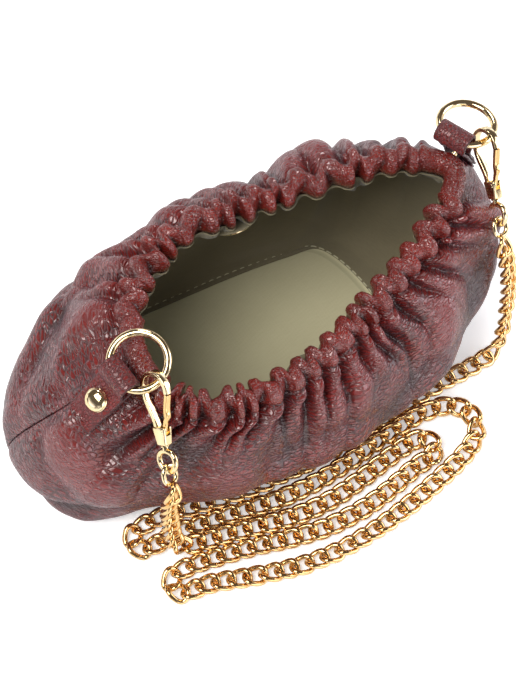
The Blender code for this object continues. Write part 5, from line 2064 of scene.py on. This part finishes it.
    def build_swivel(self) -> None:
        """Swivel stem with its collar and eye, and the oval end link through the eye."""
        h = self.hook
        foot = -h.throat - h.block_length
        turn = Matrix.Rotation(math.radians(-90), 4, "X")
        profile = [(0.0, self.eye_centre + h.eye_radius - 0.0003),
                   (h.stem * 1.3, self.eye_centre + h.eye_radius), (h.stem * 1.2, foot - 0.0006),
                   (h.stem * 1.8, foot - 0.0005), (h.stem * 1.8, foot - 0.0001),
                   (h.stem, foot), (h.stem, foot + 0.0015), (0.0, foot + 0.0016)]
        stem = lathe("swivel_stem", profile, turn, 32)
        x, y = circle(1.0, 72).T
        flat = 1.0 - 0.10 * np.maximum(0.0, y) ** 2
        path = np.stack([h.eye_radius * x * (1 + 0.05 * y),
                         self.eye_centre + h.eye_radius * y * flat, x * 0], -1)
        eye = sweep("swivel_eye", path, circle(h.eye_wire, 16), (0.0, 0.0, 1.0), closed=True)
        link = sweep("end_link", self.link_path(), circle(h.link_wire, 16), (1.0, 0.0, 0.0),
                     closed=True)
        mesh = merge_meshes(self.called("swivel_and_link"), [stem, eye, link])
        mesh.transform(self.frame)
        shade(mesh, 35)
        self.add(mesh, "gold", self.called("swivel_body"), "gold", "swivel", "end_link")

    def build(self, nodes: dict[str, Piece]) -> None:
        """Build every piece of this end.

        Args:
            nodes: The CAD nodes by name.
        """
        self.build_tab()
        self.build_rivet()
        self.build_ring()
        self.build_hook()
        self.build_gate()
        self.build_swivel()
        repaint(nodes[self.called("rivet_washer")], self.finishes["steel"])
        LOG.info("%s end: tab, rivet, ring, hook, gate and swivel", self.name)


# Magnetic snap


@dataclass(frozen=True)
class SnapSizes:
    """Sizes of a snap half on its round cotton patch."""

    radius: float = 0.0090
    thick: float = 0.0014
    patch_radius: float = 0.0110
    patch: float = 0.0008
    standoff: float = 0.0027
    post: float = 0.0012
    post_length: float = 0.0035
    gap: float = 0.0002
    lip: float = 0.0003


class Snap:
    """The two snap halves on their round cotton patches."""

    PLACES = {"back": (9.0, 3.55), "front": (3.0, 3.35)}

    def __init__(self, form: PouchForm, finishes: Finishes) -> None:
        """Take what the snap is built with.

        Args:
            form: The pouch's smooth form.
            finishes: The materials.
        """
        self.form = form
        self.finishes = finishes
        self.sizes = SnapSizes()

    def frame(self, side: str) -> Matrix:
        """Where one half is sewn on.

        Args:
            side: back or front.

        Returns:
            A frame on the lining, Z into the bag.
        """
        station, level = self.PLACES[side]

        def at(ds: float, dl: float) -> Vector:
            """One point of the lining near the snap."""
            place = np.array([station + ds]), np.array([level + dl])
            return Vector(self.form.lining(*place, self.form.sizes.lining_inset)[0, 0])

        ahead = at(0.05, 0) - at(-0.05, 0)
        above = at(0, 0.05) - at(0, -0.05)
        normal = above.cross(ahead).normalized()
        ahead.normalize()
        return axes(at(0, 0), ahead, normal.cross(ahead), normal)

    def patch_profile(self, foot: float) -> list[tuple[float, float]]:
        """Section of the cotton patch.

        Args:
            foot: Height of its underside.

        Returns:
            Radius and height pairs, from the bottom middle to the top middle.
        """
        s = self.sizes
        return [(0.0, foot), (s.patch_radius * 0.9, foot - s.gap), (s.patch_radius, foot + s.gap),
                (s.patch_radius, foot + s.patch * 0.7), (s.patch_radius * 0.93, foot + s.patch),
                (0.0, foot + s.patch)]

    def disc_profile(self, side: str, base: float) -> list[tuple[float, float]]:
        """Section of one metal half, with a dish in the back one and a stud on the front one.

        Args:
            side: back or front.
            base: Height of its underside.

        Returns:
            Radius and height pairs, from the bottom middle to the top middle.
        """
        s = self.sizes
        top = base + s.thick
        low = base - s.post_length
        disc = [(0.0, low), (s.post, low), (s.post, base), (s.radius, base),
                (s.radius, top - 0.0005), (s.radius - 0.0005, top), (s.radius - 0.0016, top),
                (s.radius - 0.0022, top - s.lip)]
        if side == "back":
            return disc + [(0.0040, top - s.lip), (0.0036, top), (0.0031, top),
                           (0.0029, top - 0.0009), (0.0, top - 0.0009)]
        return disc + [(0.0032, top - s.lip), (0.0028, top), (0.0026, top + 0.0014),
                       (0.0022, top + 0.0016), (0.0, top + 0.0016)]

    def build(self) -> None:
        """Both halves with their patches."""
        foot = self.form.sizes.lining + self.sizes.standoff
        base = foot + self.sizes.patch + self.sizes.gap
        for side in self.PLACES:
            frame = self.frame(side)
            patch = lathe(f"snap_patch_{side}_disc", self.patch_profile(foot), frame, 64)
            dress(link(patch), self.finishes["cotton"], "bag", "cotton", f"snap_patch_{side}")
            disc = lathe(f"snap_{side}_disc", self.disc_profile(side, base), frame, 72)
            dress(link(disc), self.finishes["gold"], "bag", "gold", f"snap_{side}")


# Curb chain strap


@dataclass(frozen=True)
class ChainSizes:
    """Sizes of the curb chain and of the tube route that it follows."""

    width: float = 0.0087
    pitch: float = 0.0066
    half_long: float = 0.0045
    half_wide: float = 0.0033
    twist: float = 0.0014
    wire: float = 0.00108
    lay: float = 0.0038
    lead: float = 0.0030
    turn: float = 0.0051
    turn_sweep: float = 190.0
    turn_steps: int = 6
    probe: float = 0.0025
    sink: float = 0.0016
    lift: float = 0.0002
    right_drop: tuple = (
        (0.1040, -0.0372, 0.0560), (0.1054, -0.0396, 0.0420), (0.1050, -0.0418, 0.0280),
        (0.1032, -0.0449, 0.0155), (0.1004, -0.0474, 0.0078), (0.0965, -0.0490, 0.0043))
    runs: tuple = (
        ((0.0915, -0.0498), (0.0830, -0.0501), (0.0730, -0.0500), (0.0600, -0.0502),
         (0.0460, -0.0512), (0.0320, -0.0522), (0.0160, -0.0532), (0.0000, -0.0536),
         (-0.0150, -0.0530), (-0.0300, -0.0512), (-0.0440, -0.0484), (-0.0570, -0.0456),
         (-0.0670, -0.0438)),
        ((-0.0640, -0.0534), (-0.0520, -0.0552), (-0.0400, -0.0574), (-0.0270, -0.0602),
         (-0.0140, -0.0626), (0.0000, -0.0634), (0.0140, -0.0624), (0.0280, -0.0608),
         (0.0420, -0.0594), (0.0540, -0.0588), (0.0640, -0.0606), (0.0705, -0.0656),
         (0.0718, -0.0730), (0.0672, -0.0796), (0.0580, -0.0840), (0.0460, -0.0872),
         (0.0330, -0.0900), (0.0190, -0.0924), (0.0050, -0.0938), (-0.0090, -0.0938),
         (-0.0220, -0.0922), (-0.0350, -0.0890), (-0.0470, -0.0849), (-0.0570, -0.0812),
         (-0.0650, -0.0788)),
        ((-0.0620, -0.0694), (-0.0500, -0.0720), (-0.0370, -0.0753), (-0.0240, -0.0790),
         (-0.0100, -0.0823), (0.0040, -0.0834), (0.0180, -0.0824), (0.0300, -0.0802),
         (0.0390, -0.0781)),
        ((0.0380, -0.0678), (0.0260, -0.0697), (0.0130, -0.0718), (0.0000, -0.0730),
         (-0.0130, -0.0723), (-0.0250, -0.0698), (-0.0370, -0.0666), (-0.0480, -0.0639),
         (-0.0575, -0.0621)))
    turns: tuple = (
        ((-0.0755, -0.0487), (-1.0, 0.0)), ((-0.0708, -0.0736), (-1.0, 0.0)),
        ((0.0452, -0.0726), (1.0, 0.10)))
    left_drop: tuple = (
        (-0.0622, -0.0613, 0.0049), (-0.0656, -0.0602, 0.0088), (-0.0669, -0.0589, 0.0150),
        (-0.0669, -0.0573, 0.0280), (-0.0667, -0.0573, 0.0420), (-0.0662, -0.0582, 0.0520))


class Chain:
    """The curb chain from one end link to the other."""

    FINE = 24
    BEND_AT = (2, 6)
    SEED = 5
    RIGHT_EDGE = (0.35, -0.93, 0.1)
    LEFT_EDGE = (0.42, -0.90, 0.0)

    def __init__(self, sizes: ChainSizes, left: End, right: End) -> None:
        """Work out the route.

        Args:
            sizes: Sizes of the chain.
            left, right: The two ends that it hangs from.
        """
        self.sizes = sizes
        self.left, self.right = left, right
        self.fine, self.first, self.last = self.route()

    def turn_points(self, centre: tuple, heading: tuple, arriving: tuple) -> list[tuple]:
        """Round turn from the end of one run back to the start of the next.

        Args:
            centre: Middle of the turn.
            heading: Direction of its outermost point.
            arriving: Last point of the run before it.

        Returns:
            The points of the turn.
        """
        s = self.sizes
        away = np.array(heading) / np.linalg.norm(heading)
        side = np.array((-away[1], away[0]))
        if (np.array(arriving) - centre) @ side < 0:
            side = -side
        points = []
        for k in range(s.turn_steps + 1):
            angle = math.radians(s.turn_sweep / 2 - s.turn_sweep * k / s.turn_steps)
            place = np.array(centre) + (away * math.cos(angle) + side * math.sin(angle)) * s.turn
            points.append((*place, s.lay))
        return points

    def route(self) -> tuple[Array, int, int]:
        """The whole strap as one fine curve.

        Returns:
            Its points, and the indices where the drops meet the pile.
        """
        s = self.sizes
        left, right = self.left, self.right
        route = [tuple(right.link_foot), tuple(right.link_foot + right.hang * s.lead)]
        route += list(s.right_drop)
        first = len(route)
        for index, run in enumerate(s.runs):
            route += [(x, y, s.lay) for x, y in run]
            if index < len(s.turns):
                route += self.turn_points(*s.turns[index], run[-1])
        last = len(route) - 1
        route += list(s.left_drop)
        route += [tuple(left.link_foot + left.hang * s.lead), tuple(left.link_foot)]
        places = np.linspace(0, len(route) - 1, (len(route) - 1) * self.FINE + 1)
        fine = open_curve(np.array(route), places)
        fine[:, 2] = np.maximum(fine[:, 2], s.lay)
        return fine, first * self.FINE, last * self.FINE

    def link_model(self) -> Piece:
        """One twisted curb link lying along X, a little flattened on its faces.

        Returns:
            The piece that is copied.
        """
        s = self.sizes
        x, y = circle(1.0, 32).T
        path = np.stack([s.half_long * np.sign(x) * np.abs(x) ** 0.85, s.half_wide * y,
                         s.twist * 2 * x * y], -1)
        section = circle(s.wire, 10) * (1.06, 0.92)
        return link(sweep("curb_link_model", path, section, (0.0, 0.0, 1.0), closed=True))

    def places(self) -> tuple[Array, Array, Array, Array]:
        """Where every link stands on the route.

        Returns:
            Points, directions, up vectors and the route index of each link.
        """
        s = self.sizes
        reach = reach_along(self.fine)
        count = round(reach[-1] / s.pitch)
        at = (np.arange(count) + 0.5) * reach[-1] / count
        index = np.interp(at, reach, np.arange(len(reach)))
        points = points_at(at, reach, self.fine)
        along = unit(points_at(at + s.probe, reach, self.fine)
                     - points_at(at - s.probe, reach, self.fine))
        rng = np.random.default_rng(self.SEED)
        side = unit(np.cross(along, (0.0, 0.0, 1.0)))
        lift = unit(np.cross(side, along))
        inward = np.where(side[:, 1:2] > 0, side, -side)
        wander = np.convolve(rng.normal(0, 0.55, count + 10), np.ones(11) / 11 ** 0.5, "valid")
        tilt = np.clip(0.30 + wander * 0.55, -0.35, 0.85) + rng.normal(0, 0.06, count)
        up = lift * np.cos(tilt)[:, None] - inward * np.sin(tilt)[:, None]
        low = s.half_wide * np.abs(np.sin(tilt)) + s.wire + s.twist * np.cos(tilt) * 0.8
        pile = self.in_pile(index)
        points[pile, 2] = np.maximum(low[pile] + s.lift, s.lay - s.sink)
        for mask, edge, ends in (
                (index < self.first, self.RIGHT_EDGE, (0, self.first)),
                (index > self.last, self.LEFT_EDGE, (len(self.fine) - 1, self.last))):
            edge = unit(np.array(edge))
            want = unit(edge - along * (along @ edge)[:, None])
            share = (index - ends[0]) / (ends[1] - ends[0])
            lying = smoothstep(0.78, 1.0, share)[:, None]
            turned = unit(want * (1 - lying) + up * lying)
            sway = rng.normal(0, 0.10, count)[:, None] * unit(np.cross(along, turned))
            up[mask] = unit(turned + sway * (1 - lying))[mask]
        return points, along, up, index

    def in_pile(self, index: Array) -> Array:
        """Whether each place on the route lies in the pile on the floor."""
        return (index >= self.first) & (index <= self.last)

    def build(self, copies: CopyTree) -> None:
        """Build the pile and the two drops, each drop in three pieces.

        Args:
            copies: The tree that sets the links.
        """
        model = self.link_model()
        points, along, up, index = self.places()
        pile = self.in_pile(index)
        right, left = np.flatnonzero(index < self.first), np.flatnonzero(index > self.last)
        for end, order in ((self.right, right), (self.left, left[::-1])):
            bodies = [end.called(body) for body in ("swivel_body", "hook_body", "ring_body")]
            bodies.append("bag")
            for k, part in enumerate(np.split(order, self.BEND_AT)):
                piece = copies.run(end.called(f"drop_links_{k + 1}"), model, points[part],
                                   along[part], up[part])
                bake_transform(piece)
                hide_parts(f"chain_{end.name}_drop")
        piece = copies.run("chain_pile_links", model, points[pile], along[pile], up[pile])
        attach(piece, "bag")
        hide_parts("chain_pile")
        bpy.data.objects.remove(model)
        LOG.info("chain: %d links on the floor, %d in the two drops", int(pile.sum()),
                 len(right) + len(left))


# Studio


@dataclass(frozen=True)
class Lamp:
    """One soft square lamp that faces the bag."""

    name: str
    place: tuple[float, float, float]
    size: float
    power: float
    colour: Colour

    def build(self, target: Vector) -> None:
        """Place the lamp and turn it to a target.

        Args:
            target: What it shines on.
        """
        data = bpy.data.lights.new(self.name, "AREA")
        data.shape = "SQUARE"
        data.size = self.size
        data.energy = self.power
        data.color = self.colour
        lamp = link(data)
        lamp.location = self.place
        lamp.rotation_euler = (Vector(self.place) - target).to_track_quat("Z", "Y").to_euler()


class Studio:
    """Pale floor, soft lamps and the camera."""

    TARGET = Vector((-0.002, -0.015, 0.050))
    LAMP_TARGET = Vector((0, 0, 0.04))
    DISTANCE = 0.700
    AZIMUTH = math.radians(-30)
    ELEVATION = math.radians(63)
    LENS = 90.0
    SENSOR = 36.0
    NEAREST = 0.01
    FLOOR_WIDTH = 8.0
    LAMPS = (
        Lamp("key_lamp", (-0.60, -0.10, 1.15), 0.75, 13.0, (1.0, 0.99, 0.97)),
        Lamp("top_lamp", (0.35, 0.75, 1.05), 0.35, 4.0, (1.0, 1.0, 1.0)),
        Lamp("right_lamp", (1.05, -0.45, 0.40), 0.8, 6.0, (0.92, 0.93, 1.0)),
        Lamp("front_lamp", (0.10, -1.15, 0.30), 0.8, 4.0, (0.94, 0.94, 1.0)))

    def build_camera(self) -> None:
        """Camera at the photograph's viewing angle."""
        data = bpy.data.cameras.new("camera")
        data.lens = self.LENS
        data.sensor_fit = "VERTICAL"
        data.sensor_height = self.SENSOR
        data.clip_start = self.NEAREST
        camera = link(data)
        a, e = self.AZIMUTH, self.ELEVATION
        back = Vector((math.sin(a) * math.cos(e), -math.cos(a) * math.cos(e), math.sin(e)))
        camera.location = self.TARGET + back * self.DISTANCE
        camera.rotation_euler = back.to_track_quat("Z", "Y").to_euler()
        bpy.context.scene.camera = camera

    def build_floor(self, finish: Material) -> None:
        """White floor that keeps the bag's soft shadow.

        Args:
            finish: Its material.
        """
        bpy.ops.mesh.primitive_plane_add(size=self.FLOOR_WIDTH, location=(0, 0, 0))
        floor = bpy.context.object
        floor.name = "floor"
        floor.data.materials.append(finish)

    def build_world(self) -> None:
        """Pale surroundings: even pale light, white to the camera, and for reflections bright near
        the skyline and dark above, with dark bands.
        """
        world = bpy.data.worlds.new("studio")
        bpy.context.scene.world = world
        world.use_nodes = True
        nodes = Nodes(world.node_tree)
        rays = nodes.add("ShaderNodeLightPath").outputs
        heading = nodes.add("ShaderNodeTexCoord").outputs["Generated"]
        height = nodes.ramp(nodes.split(heading)[2], 0.04, 0.42)
        bands = nodes.ramp(nodes.noise(heading, 2.6, 1.0), 0.40, 0.56)
        tone = nodes.mix(height, (0.86, 0.86, 0.96, 1), (0.05, 0.045, 0.045, 1))
        tone = nodes.mix(bands, (0.05, 0.04, 0.035, 1), tone)
        light = [nodes.add("ShaderNodeBackground", {"Color": colour, "Strength": strength})
                 for colour, strength in (((0.95, 0.97, 1.0, 1), 0.48), (tone, 2.3),
                                          ((1, 1, 1, 1), 1.0))]
        shown = light[0].outputs[0]
        for ray, other in (("Is Glossy Ray", light[1]), ("Is Camera Ray", light[2])):
            inputs = {0: rays[ray], 1: shown, 2: other.outputs[0]}
            shown = nodes.add("ShaderNodeMixShader", inputs).outputs[0]
        nodes.add("ShaderNodeOutputWorld", {"Surface": shown})

    def build(self, floor_finish: Material) -> None:
        """The whole studio but its camera.

        Args:
            floor_finish: The floor's material.
        """
        self.build_floor(floor_finish)
        self.build_world()
        for lamp in self.LAMPS:
            lamp.build(self.LAMP_TARGET)
        bpy.context.scene.view_settings.view_transform = "Standard"
        LOG.info("studio ready")


def main() -> None:
    """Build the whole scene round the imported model."""
    logging.basicConfig(level=logging.INFO, format="%(name)s: %(message)s")
    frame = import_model()
    studio = Studio()
    studio.build_camera()
    finishes = Finishes()
    left = End("left", LEFT_PLACE, finishes)
    right = End("right", RIGHT_PLACE, finishes)
    chain = Chain(ChainSizes(), left, right)
    chain.build(CopyTree("Chain links", finishes["chain"]))
    pouch = Pouch(finishes, PouchSizes(), GatherSizes())
    for piece in [*pouch.build_panels(), pouch.build_casing(), *pouch.build_lining()]:
        LOG.info("%s: %d faces", piece.name, len(piece.data.polygons))
    pouch.build_stitches(CopyTree("Lining stitches", finishes["thread"]))
    pouch.dress_hidden(frame["nodes"])
    for end in (left, right):
        end.build(frame["nodes"])
    Snap(pouch.form, finishes).build()
    for side in Snap.PLACES:
        repaint(frame["nodes"][f"snap_washer_{side}"], finishes["steel"])
    studio.build(finishes["floor"])


if __name__ == "__main__":
    main()
